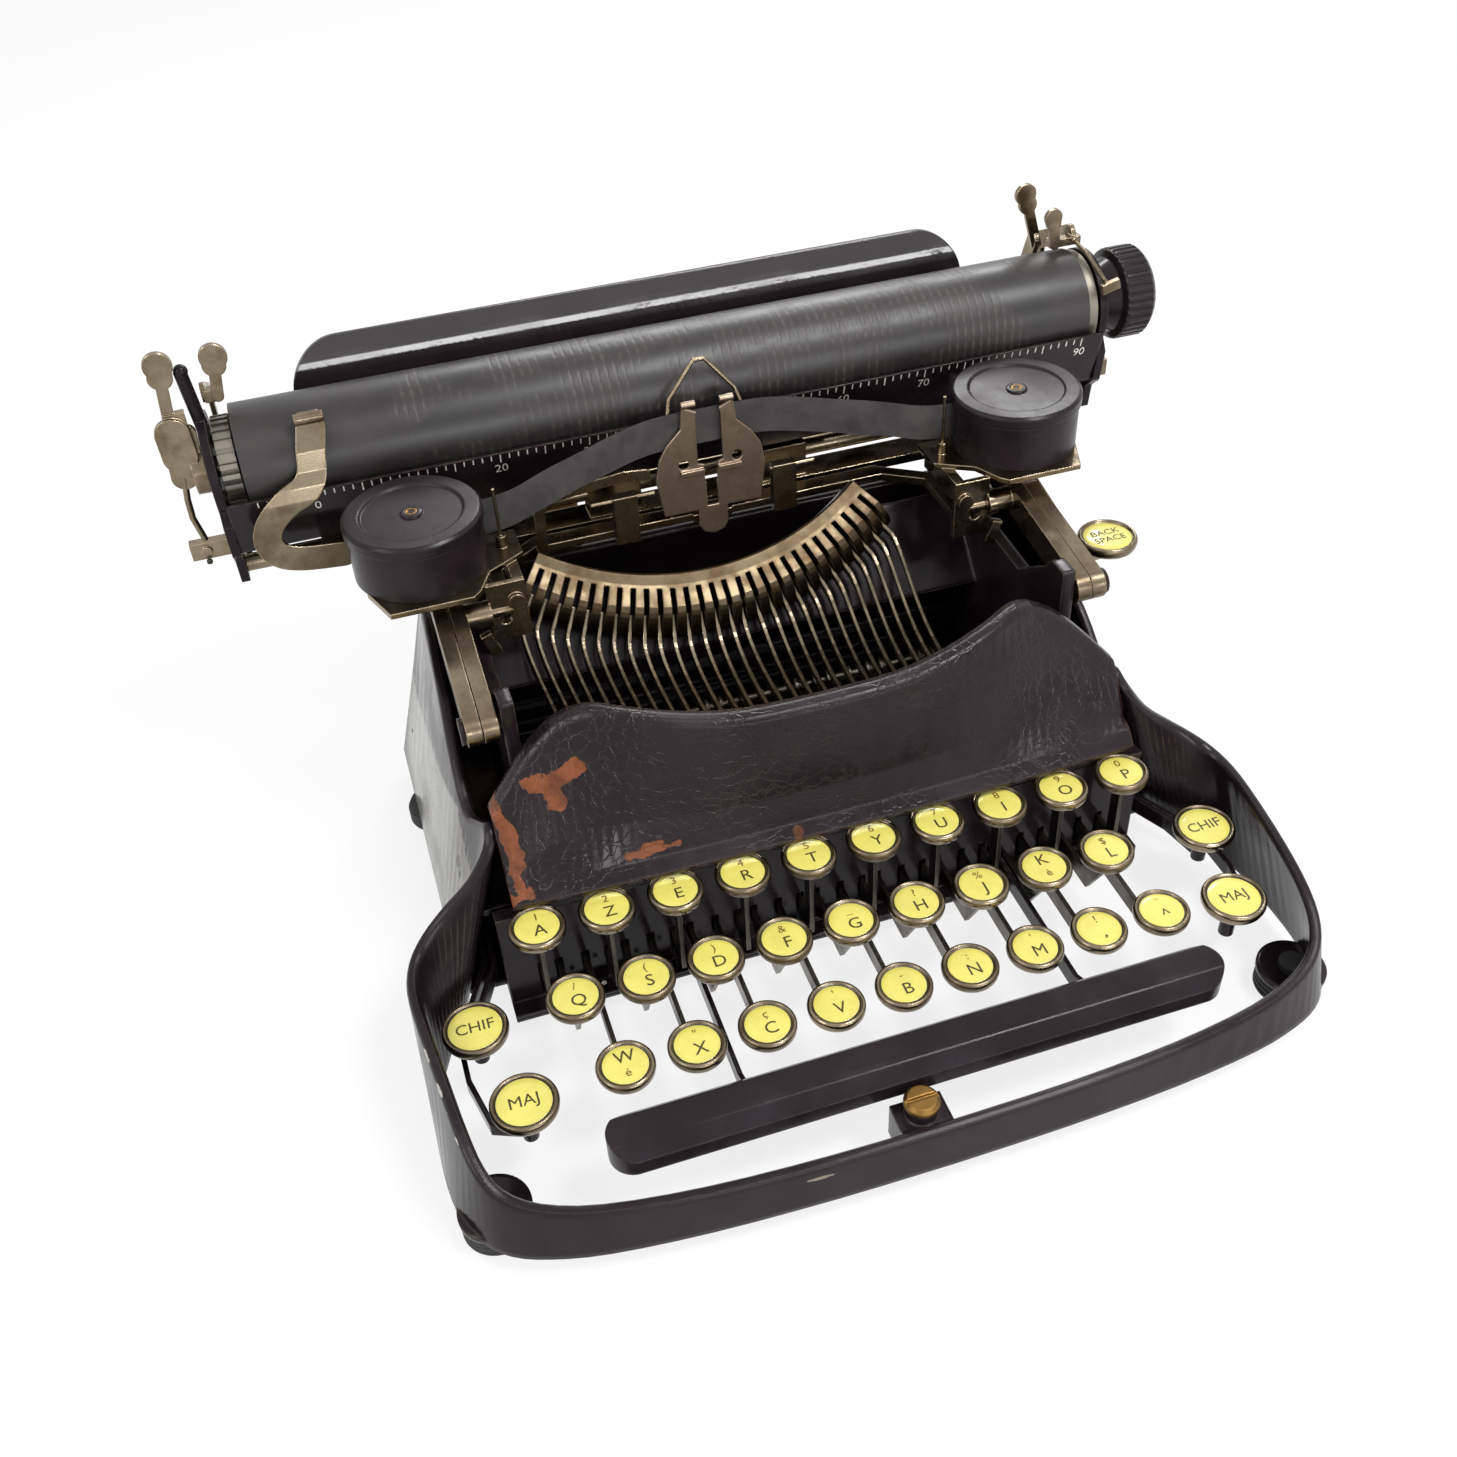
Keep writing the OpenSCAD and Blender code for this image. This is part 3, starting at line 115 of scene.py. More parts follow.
# One row of legends per key: node, main letter, sign above it, sign below it
TOP_ROW = (
    ("key_a", "A", "1", ""), ("key_z", "Z", "2", ""), ("key_e", "E", "3", ""), ("key_r", "R", "4", ""),
    ("key_t", "T", "5", ""), ("key_y", "Y", "6", ""), ("key_u", "U", "7", ""), ("key_i", "I", "8", ""),
    ("key_o", "O", "9", ""), ("key_p", "P", "0", ""),
)
HOME_ROW = (
    ("key_q", "Q", "/", ""), ("key_s", "S", "(", ""), ("key_d", "D", ")", ""), ("key_f", "F", "&", ""),
    ("key_g", "G", "_", ""), ("key_h", "H", "?", ""), ("key_j", "J", "%", ""), ("key_k", "K", "", "è"),
    ("key_l", "L", "$", ""),
)
LOW_ROW = (
    ("key_w", "W", "", "é"), ("key_x", "X", "\"", ""), ("key_c", "C", "ç", ""), ("key_v", "V", "'", ""),
    ("key_b", "B", "-", ""), ("key_n", "N", ":", ""), ("key_m", "M", "'", ""), ("key_comma", ",", "!", "."),
    ("key_accent", "^", "¨", ""),
)


def at(x, y, z):
    """A place in machine millimetres, as metres in the frame of the model."""
    return Vector((x, y - SPACE_BAR_TO_CENTRE, z)) / 1000


# Settings that a user would change


class TypewriterColours(bpy.types.PropertyGroup):
    enamel: bpy.props.FloatVectorProperty(
        name="Enamel", description="Black of the castings", subtype="COLOR", default=(0.0102, 0.0062, 0.0082))
    nickel: bpy.props.FloatVectorProperty(
        name="Nickel", description="Plating of the frames and levers", subtype="COLOR", default=(0.27, 0.22, 0.152))
    bronze: bpy.props.FloatVectorProperty(
        name="Bronze", description="Comb of the type basket", subtype="COLOR", default=(0.11, 0.085, 0.053))
    card: bpy.props.FloatVectorProperty(
        name="Key cards", description="Yellow of the key faces", subtype="COLOR", default=(0.80, 0.71, 0.15))
    bare_metal: bpy.props.FloatVectorProperty(
        name="Rust", description="Brown where the enamel has come off", subtype="COLOR", default=(0.20, 0.062, 0.024))
    platen: bpy.props.FloatVectorProperty(
        name="Platen", description="Grey of the paper roller", subtype="COLOR", default=(0.0135, 0.0118, 0.0112))


class TypewriterSizes(bpy.types.PropertyGroup):
    letter: bpy.props.FloatProperty(
        name="Letter height", description="Height of a key's main letter", default=0.0036, unit="LENGTH")
    figure: bpy.props.FloatProperty(
        name="Figure height", description="Height of a key's upper sign", default=0.0024, unit="LENGTH")
    rubbed_and_highlighted_edge_width: bpy.props.FloatProperty(
        name="Rubbed and highlighted edge width", description="Width of the rubbed and highlighted edges", default=0.0007, unit="LENGTH")


class TypewriterStage(bpy.types.PropertyGroup):
    lens: bpy.props.FloatProperty(
        name="Lens", description="Focal length on a 36 mm sensor, in millimetres", default=37.515)
    camera: bpy.props.FloatVectorProperty(
        name="Camera", description="Camera position", subtype="XYZ", unit="LENGTH",
        default=(-0.1016, -0.3013, 0.3241))
    world: bpy.props.FloatProperty(name="World", description="Strength of the white surroundings", default=0.55)


# Node trees


def set_inputs(tree, node, values):
    """Gives each named input its value, or links a socket to it."""
    for key, value in values.items():
        if isinstance(value, bpy.types.NodeSocket):
            tree.links.new(value, node.inputs[key])
        else:
            node.inputs[key].default_value = value


def add(tree, kind, inputs=None, **settings):
    """Adds a node. Inputs holds a value or a socket for each named input."""
    node = tree.nodes.new(kind)
    for key, value in settings.items():
        setattr(node, key, value)
    set_inputs(tree, node, inputs or {})
    return node


def math_node(tree, operation, a, b=0.0):
    return add(tree, "ShaderNodeMath", {0: a, 1: b}, operation=operation).outputs[0]


def times(tree, first, *others):
    for other in others:
        first = math_node(tree, "MULTIPLY", first, other)
    return first


def vector_node(tree, operation, a, b=(0, 0, 0), out="Vector"):
    return add(tree, "ShaderNodeVectorMath", {0: a, 1: b}, operation=operation).outputs[out]


def scaled_vector(tree, vector, scale):
    return add(tree, "ShaderNodeVectorMath", {0: vector, "Scale": scale}, operation="SCALE").outputs["Vector"]


def split_xyz(tree, vector):
    return tuple(add(tree, "ShaderNodeSeparateXYZ", {0: vector}).outputs)


def object_place(tree):
    return add(tree, "ShaderNodeTexCoord").outputs["Object"]


def noise(tree, place, scale, detail, roughness=0.5):
    return add(tree, "ShaderNodeTexNoise", {
        "Vector": place, "Scale": scale, "Detail": detail, "Roughness": roughness}).outputs


def ramp(tree, value, low, high):
    """Value mapped from low..high to 0..1 with soft ends."""
    node = add(tree, "ShaderNodeMapRange", {"Value": value, "From Min": low, "From Max": high},
               interpolation_type="SMOOTHSTEP")
    return node.outputs["Result"]


def blend_colour(tree, factor, a, b):
    return add(tree, "ShaderNodeMix", {0: factor, 6: a, 7: b}, data_type="RGBA").outputs[2]


def rgba(colour, k=1.0):
    return (colour[0] * k, colour[1] * k, colour[2] * k, 1.0)


def new_group(name, inputs, outputs):
    """An empty shader group. Inputs and outputs are (name, socket type, default) and (name, socket type)."""
    tree = bpy.data.node_groups.new(name, "ShaderNodeTree")
    for label, kind, default in inputs:
        socket = tree.interface.new_socket(label, in_out="INPUT", socket_type=kind)
        socket.default_value = default
    for label, kind in outputs:
        tree.interface.new_socket(label, in_out="OUTPUT", socket_type=kind)
    return tree, tree.nodes.new("NodeGroupInput"), tree.nodes.new("NodeGroupOutput")


def place_group(tree, name, values):
    """Places a shared group in a material, sets its values and returns its outputs."""
    node = tree.nodes.new("ShaderNodeGroup")
    node.node_tree = bpy.data.node_groups.get(name) or GROUP_MAKERS[name]()
    set_inputs(tree, node, values)
    return node.outputs


def mottled(tree, scale, grain):
    """The patches and the grain of the mottle group."""
    return tuple(place_group(tree, "mottle", {"Scale": scale, "Grain": grain}))


def rubbed_and_highlighted_edges(tree, width, amount):
    """The mask and the rounded normal of the worn edges group."""
    return tuple(place_group(tree, "rubbed and highlighted edges", {"Width": width, "Amount": amount}))


def between_x(tree, low, high):
    return place_group(tree, "between", {"Axis": (1, 0, 0), "Low": low, "High": high})["Mask"]


def flaked_patch(tree, centre, reach, torn):
    return place_group(tree, "flaked patch", {
        "Centre": at(*centre), "Reach": Vector(reach) / 1000, "Torn": torn})["Mask"]


def make_mottle():
    """Soft patches of lighter and darker finish, and their fine grain as a height."""
    tree, head, tail = new_group(
        "mottle", [("Scale", "NodeSocketFloat", 60.0), ("Grain", "NodeSocketFloat", 900.0)],
        [("Patches", "NodeSocketFloat"), ("Grain", "NodeSocketFloat")])
    place = object_place(tree)
    patches = noise(tree, place, head.outputs["Scale"], 5.0, 0.62)[0]
    grain = noise(tree, place, head.outputs["Grain"], 3.0)[0]
    tree.links.new(ramp(tree, patches, 0.34, 0.68), tail.inputs["Patches"])
    tree.links.new(grain, tail.inputs["Grain"])
    return tree


def make_rubbed_and_highlighted_edges():
    """A broken line along the sharp edges, where the enamel's finish has rubbed off and where the plating gets a
    painted highlight, and a normal that rounds them.
    """
    tree, head, tail = new_group(
        "rubbed and highlighted edges", [("Width", "NodeSocketFloat", 0.0007), ("Amount", "NodeSocketFloat", 0.5),
                       ("Scale", "NodeSocketFloat", 220.0)],
        [("Mask", "NodeSocketFloat"), ("Normal", "NodeSocketVector")])
    rounded = add(tree, "ShaderNodeBevel", {"Radius": head.outputs["Width"]}, samples=6).outputs[0]
    normal = add(tree, "ShaderNodeNewGeometry").outputs["Normal"]
    edge = ramp(tree, vector_node(tree, "DOT_PRODUCT", rounded, normal, "Value"), 0.9, 0.78)
    spots = noise(tree, object_place(tree), head.outputs["Scale"], 6.0, 0.7)[0]
    limit = math_node(tree, "SUBTRACT", 1.0, head.outputs["Amount"])
    broken = ramp(tree, math_node(tree, "SUBTRACT", spots, times(tree, limit, 0.6)), 0.1, 0.22)
    tree.links.new(times(tree, edge, broken), tail.inputs["Mask"])
    tree.links.new(rounded, tail.inputs["Normal"])
    return tree


def make_soft_facets():
    """A normal that runs smoothly over the small facets of a curved wall."""
    tree, head, tail = new_group(
        "soft facets", [("Reach", "NodeSocketFloat", 0.0025)], [("Normal", "NodeSocketVector")])
    rounded = add(tree, "ShaderNodeBevel", {"Radius": head.outputs["Reach"]}, samples=8)
    tree.links.new(rounded.outputs[0], tail.inputs["Normal"])
    return tree


def make_craze():
    """Fine age cracks in the enamel."""
    tree, head, tail = new_group(
        "craze", [("Scale", "NodeSocketFloat", 260.0), ("Width", "NodeSocketFloat", 0.05)],
        [("Mask", "NodeSocketFloat")])
    place = object_place(tree)
    bend = scaled_vector(tree, noise(tree, place, 90.0, 4.0)["Color"], 0.012)
    cells = add(tree, "ShaderNodeTexVoronoi", {
        "Vector": vector_node(tree, "ADD", place, bend), "Scale": head.outputs["Scale"]},
        feature="DISTANCE_TO_EDGE")
    line = add(tree, "ShaderNodeMapRange", {
        "Value": cells.outputs["Distance"], "From Min": 0.0, "From Max": head.outputs["Width"],
        "To Min": 1.0, "To Max": 0.0})
    tree.links.new(line.outputs["Result"], tail.inputs["Mask"])
    return tree


def torn_outline(tree, place, scale, detail, roughness, amount):
    """A noise round 0 that tears an outline."""
    spots = noise(tree, place, scale, detail, roughness)[0]
    return times(tree, math_node(tree, "SUBTRACT", spots, 0.5), amount)


def make_flaked_patch():
    """A patch with a torn outline around a centre, where the finish is gone."""
    tree, head, tail = new_group(
        "flaked patch", [("Centre", "NodeSocketVector", (0, 0, 0)), ("Reach", "NodeSocketVector", (1, 1, 1)),
                         ("Torn", "NodeSocketFloat", 0.9), ("Scale", "NodeSocketFloat", 140.0)],
        [("Mask", "NodeSocketFloat")])
    place = object_place(tree)
    away = vector_node(tree, "SUBTRACT", place, head.outputs["Centre"])
    length = vector_node(tree, "LENGTH", vector_node(tree, "DIVIDE", away, head.outputs["Reach"]), out="Value")
    torn = torn_outline(tree, place, head.outputs["Scale"], 7.0, 0.68, head.outputs["Torn"])
    edge = math_node(tree, "ADD", length, times(tree, torn, 4.0))
    tree.links.new(ramp(tree, edge, 1.04, 0.98), tail.inputs["Mask"])
    return tree


def make_flaked_strip():
    """A torn strip from A to B seen from the front, where the finish is gone."""
    tree, head, tail = new_group(
        "flaked strip", [("A", "NodeSocketVector", (0, 0, 0)), ("B", "NodeSocketVector", (1, 0, 0)),
                         ("Radius", "NodeSocketFloat", 0.001), ("Torn", "NodeSocketFloat", 0.002)],
        [("Mask", "NodeSocketFloat")])
    flat = (1.0, 0.0, 1.0)
    place = object_place(tree)
    start, end = head.outputs["A"], head.outputs["B"]
    from_a = vector_node(tree, "MULTIPLY", vector_node(tree, "SUBTRACT", place, start), flat)
    span = vector_node(tree, "MULTIPLY", vector_node(tree, "SUBTRACT", end, start), flat)
    along = vector_node(tree, "DOT_PRODUCT", from_a, span, "Value")
    whole = vector_node(tree, "DOT_PRODUCT", span, span, "Value")
    share = add(tree, "ShaderNodeClamp", {0: math_node(tree, "DIVIDE", along, whole)}).outputs[0]
    away = vector_node(tree, "DISTANCE", from_a, scaled_vector(tree, span, share), "Value")
    torn = torn_outline(tree, place, 170.0, 6.0, 0.6, head.outputs["Torn"])
    beyond = math_node(tree, "SUBTRACT", math_node(tree, "ADD", away, torn), head.outputs["Radius"])
    tree.links.new(ramp(tree, beyond, 0.0002, -0.0001), tail.inputs["Mask"])
    return tree


def make_between():
    """1 where the place lies between two values along an axis, 0 elsewhere."""
    tree, head, tail = new_group(
        "between", [("Axis", "NodeSocketVector", (1, 0, 0)), ("Low", "NodeSocketFloat", 0.0),
                    ("High", "NodeSocketFloat", 1.0)], [("Mask", "NodeSocketFloat")])
    along = vector_node(tree, "DOT_PRODUCT", object_place(tree), head.outputs["Axis"], "Value")
    above = math_node(tree, "GREATER_THAN", along, head.outputs["Low"])
    below = math_node(tree, "LESS_THAN", along, head.outputs["High"])
    tree.links.new(times(tree, above, below), tail.inputs["Mask"])
    return tree


GROUP_MAKERS = {
    "mottle": make_mottle,
    "rubbed and highlighted edges": make_rubbed_and_highlighted_edges,
    "soft facets": make_soft_facets,
    "craze": make_craze,
    "flaked patch": make_flaked_patch,
    "flaked strip": make_flaked_strip,
    "between": make_between,
}


# Materials


def new_finish(name):
    """A material with only a Principled shader. Returns the material, its tree and the shader."""
    material = bpy.data.materials.new(name)
    material.use_nodes = True
    tree = material.node_tree
    tree.nodes.clear()
    shader = tree.nodes.new("ShaderNodeBsdfPrincipled")
    out = tree.nodes.new("ShaderNodeOutputMaterial")
    tree.links.new(shader.outputs[0], out.inputs["Surface"])
    return material, tree, shader


def set_bump(tree, shader, height, strength, distance, normal=None):
    """Bump from a height, over a rounded normal where one is given."""
    inputs = {"Height": height, "Strength": strength, "Distance": distance}
    if normal is not None:
        inputs["Normal"] = normal
    tree.links.new(add(tree, "ShaderNodeBump", inputs).outputs[0], shader.inputs["Normal"])


def set_surface(tree, shader, colour, mask, gloss):
    """Links the colour, and lets the mask move the roughness over the gloss range."""
    tree.links.new(colour, shader.inputs["Base Color"])
    node = add(tree, "ShaderNodeMapRange", {"Value": mask, "To Min": gloss[0], "To Max": gloss[1]})
    tree.links.new(node.outputs["Result"], shader.inputs["Roughness"])


def colours():
    return bpy.context.scene.typewriter_colours


def sizes():
    return bpy.context.scene.typewriter_sizes


def enamel(name, wear=0.45, worn=(0.11, 0.085, 0.06, 1.0), chips=(), strips=(), crazed=0.0, gloss=(0.12, 0.3),
           shine=0.22, soften=0.0, painted_reflection=None):
    """Black stoved enamel with its wear. Chips are (centre, reach, torn, colour) and strips are (start, end,
    radius, torn, colour), in machine millimetres. Painted_reflection takes the tree and the colour, and
    returns the colour with a painted pale reflection laid over it."""
    material, tree, shader = new_finish(name)
    patches, _ = mottled(tree, 45.0, 500.0)
    edges, normal = rubbed_and_highlighted_edges(tree, sizes().rubbed_and_highlighted_edge_width, wear)
    colour = blend_colour(tree, patches, rgba(colours().enamel), rgba(colours().enamel, 1.7))
    colour = blend_colour(tree, edges, colour, worn)
    height = times(tree, patches, 0.35)
    rough_mask = patches
    if crazed:
        cracks = place_group(tree, "craze", {"Scale": 330.0, "Width": 0.07})["Mask"]
        strong, _ = mottled(tree, 28.0, 300.0)
        cracks = times(tree, cracks, strong, crazed)
        colour = blend_colour(tree, times(tree, cracks, 0.5), colour, (0.035, 0.03, 0.024, 1.0))
        height = math_node(tree, "SUBTRACT", height, cracks)
    bare_places = [(flaked_patch(tree, centre, reach, torn), bare) for centre, reach, torn, bare in chips]
    if strips:
        rust, _ = mottled(tree, 180.0, 900.0)
    for start, end, radius, torn, bare in strips:
        mask = place_group(tree, "flaked strip", {
            "A": at(*start), "B": at(*end), "Radius": radius / 1000, "Torn": torn / 1000})["Mask"]
        bare_places.append((mask, blend_colour(tree, rust, bare, rgba(bare, 0.5))))
    for mask, bare in bare_places:
        colour = blend_colour(tree, mask, colour, bare)
        height = math_node(tree, "SUBTRACT", height, mask)
        rough_mask = math_node(tree, "MAXIMUM", rough_mask, times(tree, mask, 3.0))
    # Painted reflection: a pale colour laid over the enamel where a glancing reflection shows.
    if painted_reflection:
        colour = painted_reflection(tree, colour)
    if soften:
        normal = place_group(tree, "soft facets", {"Reach": soften})["Normal"]
    set_surface(tree, shader, colour, rough_mask, gloss)
    set_bump(tree, shader, height, 0.35, 0.0003, normal)
    shader.inputs["Specular IOR Level"].default_value = shine
    return material


def plated(name, colour, gloss=(0.2, 0.42), tarnish=(0.22, 0.14, 0.07), amount=0.35, scale=70.0):
    """Worn plating with brown tarnish in soft patches, and a painted highlight along its edges."""
    material, tree, shader = new_finish(name)
    patches, grain = mottled(tree, scale, 1500.0)
    spots, _ = mottled(tree, scale * 4.3, 2500.0)
    edges, normal = rubbed_and_highlighted_edges(tree, sizes().rubbed_and_highlighted_edge_width * 0.7, 0.8)
    base = blend_colour(tree, patches, rgba(colour), rgba(colour, 0.55))
    base = blend_colour(tree, times(tree, patches, spots, amount), base, (*tarnish, 1.0))
    # Painted highlight: the edges are lightened to 2.6 times the plating colour.
    base = blend_colour(tree, times(tree, edges, 0.7), base, rgba(colour, 2.6))
    set_surface(tree, shader, base, patches, gloss)
    shader.inputs["Metallic"].default_value = 1.0
    set_bump(tree, shader, times(tree, grain, 0.3), 0.12, 0.0002, normal)
    return material


def shield_enamel():
    """The crazed shield with its bare brown places at the left and along the lip."""
    brown = rgba(colours().bare_metal)
    dim = rgba(colours().bare_metal, 0.55)
    y = 72.0
    strips = [
        ((-75.4, y, 71.4), (-70.0, y, 71.2), 1.9, 7.0, brown),
        ((-70.6, y, 71.0), (-62.6, y, 74.9), 2.0, 7.0, brown),
        ((-70.4, y, 71.0), (-69.9, y, 66.6), 1.8, 6.0, brown),
        ((-85.0, y, 66.4), (-83.4, y, 61.8), 1.2, 5.0, brown),
        ((-83.2, y, 61.8), (-82.6, y, 56.2), 2.0, 6.0, brown),
        ((-82.8, y, 56.4), (-83.4, y, 49.4), 1.6, 6.0, brown),
        ((-87.0, y, 47.8), (-81.2, y, 48.6), 1.2, 5.0, brown),
        ((-55.5, y, 52.0), (-42.0, y, 52.3), 0.9, 4.5, brown),
        ((-50.5, y, 52.6), (-47.0, y, 53.0), 1.3, 5.0, brown),
        ((-11.4, y, 45.2), (-10.8, y, 48.2), 1.0, 5.0, dim),
        ((-92.0, y, 74.0), (-88.0, y, 68.0), 0.7, 5.0, dim),
    ]
    return enamel("crazed shield enamel", wear=0.62, worn=(0.15, 0.062, 0.03, 1.0), strips=strips, crazed=0.9,
                  gloss=(0.16, 0.34), soften=0.0013)


def painted_wall_reflection(tree, colour):
    """A painted reflection: pale grey laid on the outside of the side walls, below their sloping upper line, where a
    glancing reflection of the bright surroundings shows.
    """
    facing, _, _ = split_xyz(tree, add(tree, "ShaderNodeNewGeometry").outputs["True Normal"])
    x, y, z = split_xyz(tree, object_place(tree))
    sideways = ramp(tree, math_node(tree, "ABSOLUTE", facing), 0.9, 0.98)
    outward = math_node(tree, "GREATER_THAN", times(tree, facing, x), WALL_OUT)
    behind = ramp(tree, y, at(0, 70, 0).y, at(0, 84, 0).y)
    line = math_node(tree, "ADD", z, times(tree, y, WALL_TOP_SLOPE))
    below = ramp(tree, line, WALL_TOP + WALL_TOP_SOFT, WALL_TOP - WALL_TOP_SOFT)
    # The painted reflection is made uneven by a mottle of lighter and darker streaks.
    reflection_mottle, _ = mottled(tree, 22.0, 400.0)
    wall = blend_colour(tree, reflection_mottle, (0.27, 0.265, 0.235, 1.0), (0.17, 0.165, 0.15, 1.0))
    for centre, reach in (((-96, 91, 37), (4, 1.5, 2.2)), ((-96, 89, 34), (4, 1.1, 1.3))):
        wall = blend_colour(tree, flaked_patch(tree, centre, reach, 0.5), wall, (0.03, 0.026, 0.02, 1.0))
    return blend_colour(tree, times(tree, sideways, outward, behind, below), colour, wall)


def casting_enamel():
    """The casting with a painted pale reflection on its side walls, and the small white chips on its left rail."""
    pale = (0.5, 0.49, 0.44, 1.0)
    chips = [
        ((-113.6, 16, 31), (1.0, 3.6, 1.2), 0.9, pale),
        ((-112.6, 9, 29), (0.9, 2.6, 0.9), 0.9, pale),
        ((-113.4, 22, 32), (0.8, 3.2, 0.7), 0.9, pale),
        ((-115, 33, 33), (0.8, 2.4, 0.8), 0.9, pale),
        ((-34, -19, 15.5), (4.5, 3, 0.5), 0.9, (0.2, 0.17, 0.13, 1.0)),
    ]
    return enamel("casting enamel", wear=0.55, chips=chips, gloss=(0.12, 0.28), soften=0.002, painted_reflection=painted_wall_reflection)


def carriage_metal():
    """The carriage: black end plates and pin, and plated bars and rods between them, with a painted highlight along
    the plated edges.
    """
    material, tree, shader = new_finish("carriage plates and bars")
    patches, grain = mottled(tree, 75.0, 1400.0)
    edges, normal = rubbed_and_highlighted_edges(tree, sizes().rubbed_and_highlighted_edge_width * 0.7, 0.6)
    x, _, z = split_xyz(tree, object_place(tree))
    dark = times(tree, math_node(tree, "LESS_THAN", x, PIN_X), math_node(tree, "GREATER_THAN", z, PIN_Z))
    for low, high in END_PLATES:
        dark = math_node(tree, "MAXIMUM", dark, between_x(tree, low, high))
    bright = blend_colour(tree, patches, rgba(colours().nickel), rgba(colours().nickel, 0.5))
    # Painted highlight: the plated edges are lightened to 2.4 times the nickel colour; the black parts keep their
    # brown worn edges.
    bright = blend_colour(tree, edges, bright, rgba(colours().nickel, 2.4))
    black = blend_colour(tree, edges, rgba(colours().enamel), (0.1, 0.08, 0.06, 1.0))
    set_surface(tree, shader, blend_colour(tree, dark, bright, black), patches, (0.2, 0.4))
    tree.links.new(math_node(tree, "SUBTRACT", 1.0, dark), shader.inputs["Metallic"])
    set_bump(tree, shader, times(tree, grain, 0.3), 0.15, 0.0002, normal)
    shader.inputs["Specular IOR Level"].default_value = 0.16
    return material


def platen_rubber():
    """Hard grey rubber with rows of type dents, and its bright shaft and ratchet."""
    material, tree, shader = new_finish("platen rubber")
    patches, grain = mottled(tree, 55.0, 1300.0)
    x, y, z = split_xyz(tree, vector_node(tree, "SUBTRACT", object_place(tree), at(0, *PLATEN_AXIS)))
    turn = math_node(tree, "ARCTAN2", y, z)
    letters = math_node(tree, "SINE", times(tree, x, 2 * math.pi / (LETTER_STEP / 1000)))
    lines = math_node(tree, "SINE", times(tree, turn, 24.0))
    dents = ramp(tree, math_node(tree, "ADD", times(tree, lines, 0.35), letters), 0.1, 1.2)
    dents = times(tree, dents, between_x(tree, *DENTS_X), ramp(tree, patches, 0.1, 0.9))
    base = blend_colour(tree, patches, rgba(colours().platen), rgba(colours().platen, 1.5))
    base = blend_colour(tree, dents, base, rgba(colours().platen, 3.4))
    rubber_mask = between_x(tree, PLATEN_X[0] / 1000 - 0.0003, PLATEN_X[1] / 1000 + 0.0002)
    base = blend_colour(tree, rubber_mask, (0.22, 0.2, 0.17, 1.0), base)
    set_surface(tree, shader, base, patches, (0.36, 0.48))
    tree.links.new(math_node(tree, "SUBTRACT", 1.0, rubber_mask), shader.inputs["Metallic"])
    height = math_node(tree, "SUBTRACT", times(tree, grain, 0.25), dents)
    set_bump(tree, shader, height, 0.35, 0.0002)
    return material


def rubber(name, colour=(0.012, 0.012, 0.012)):
    material, tree, shader = new_finish(name)
    patches, grain = mottled(tree, 90.0, 1400.0)
    base = blend_colour(tree, patches, rgba(colour), rgba(colour, 1.8))
    set_surface(tree, shader, base, patches, (0.55, 0.75))
    set_bump(tree, shader, grain, 0.3, 0.0002)
    return material


def card_paper():
    """Yellow card under a clear cover, a little darker in patches."""
    material, tree, shader = new_finish("key card")
    patches, _ = mottled(tree, 160.0, 2200.0)
    base = blend_colour(tree, patches, rgba(colours().card), rgba(colours().card, 0.9))
    set_surface(tree, shader, base, patches, (0.3, 0.42))
    shader.inputs["Coat Weight"].default_value = 0.5
    shader.inputs["Coat Roughness"].default_value = 0.06
    return material


# Flat matte colour for printed ink and paint, and for the near-black painted shade in slots, holes and joints.
def matte_ink_and_painted_shade(name, colour):
    material, tree, shader = new_finish(name)
    patches, _ = mottled(tree, 400.0, 2600.0)
    base = blend_colour(tree, patches, rgba(colour), rgba(colour, 1.15))
    set_surface(tree, shader, base, patches, (0.4, 0.55))
    return material


def inked_cloth():
    """The ribbon: fine woven cloth full of dark ink."""
    material, tree, shader = new_finish("inked cloth")
    patches, _ = mottled(tree, 120.0, 900.0)
    x, _, z = split_xyz(tree, object_place(tree))
    weft = math_node(tree, "SINE", times(tree, x, 2 * math.pi / THREAD))
    warp = math_node(tree, "SINE", times(tree, z, 2 * math.pi / THREAD))
    base = blend_colour(tree, patches, (0.022, 0.02, 0.02, 1.0), (0.05, 0.045, 0.045, 1.0))
    set_surface(tree, shader, base, patches, (0.55, 0.72))
    shader.inputs["Sheen Weight"].default_value = 0.25
    set_bump(tree, shader, times(tree, weft, warp), 0.25, 0.0001)
    return material


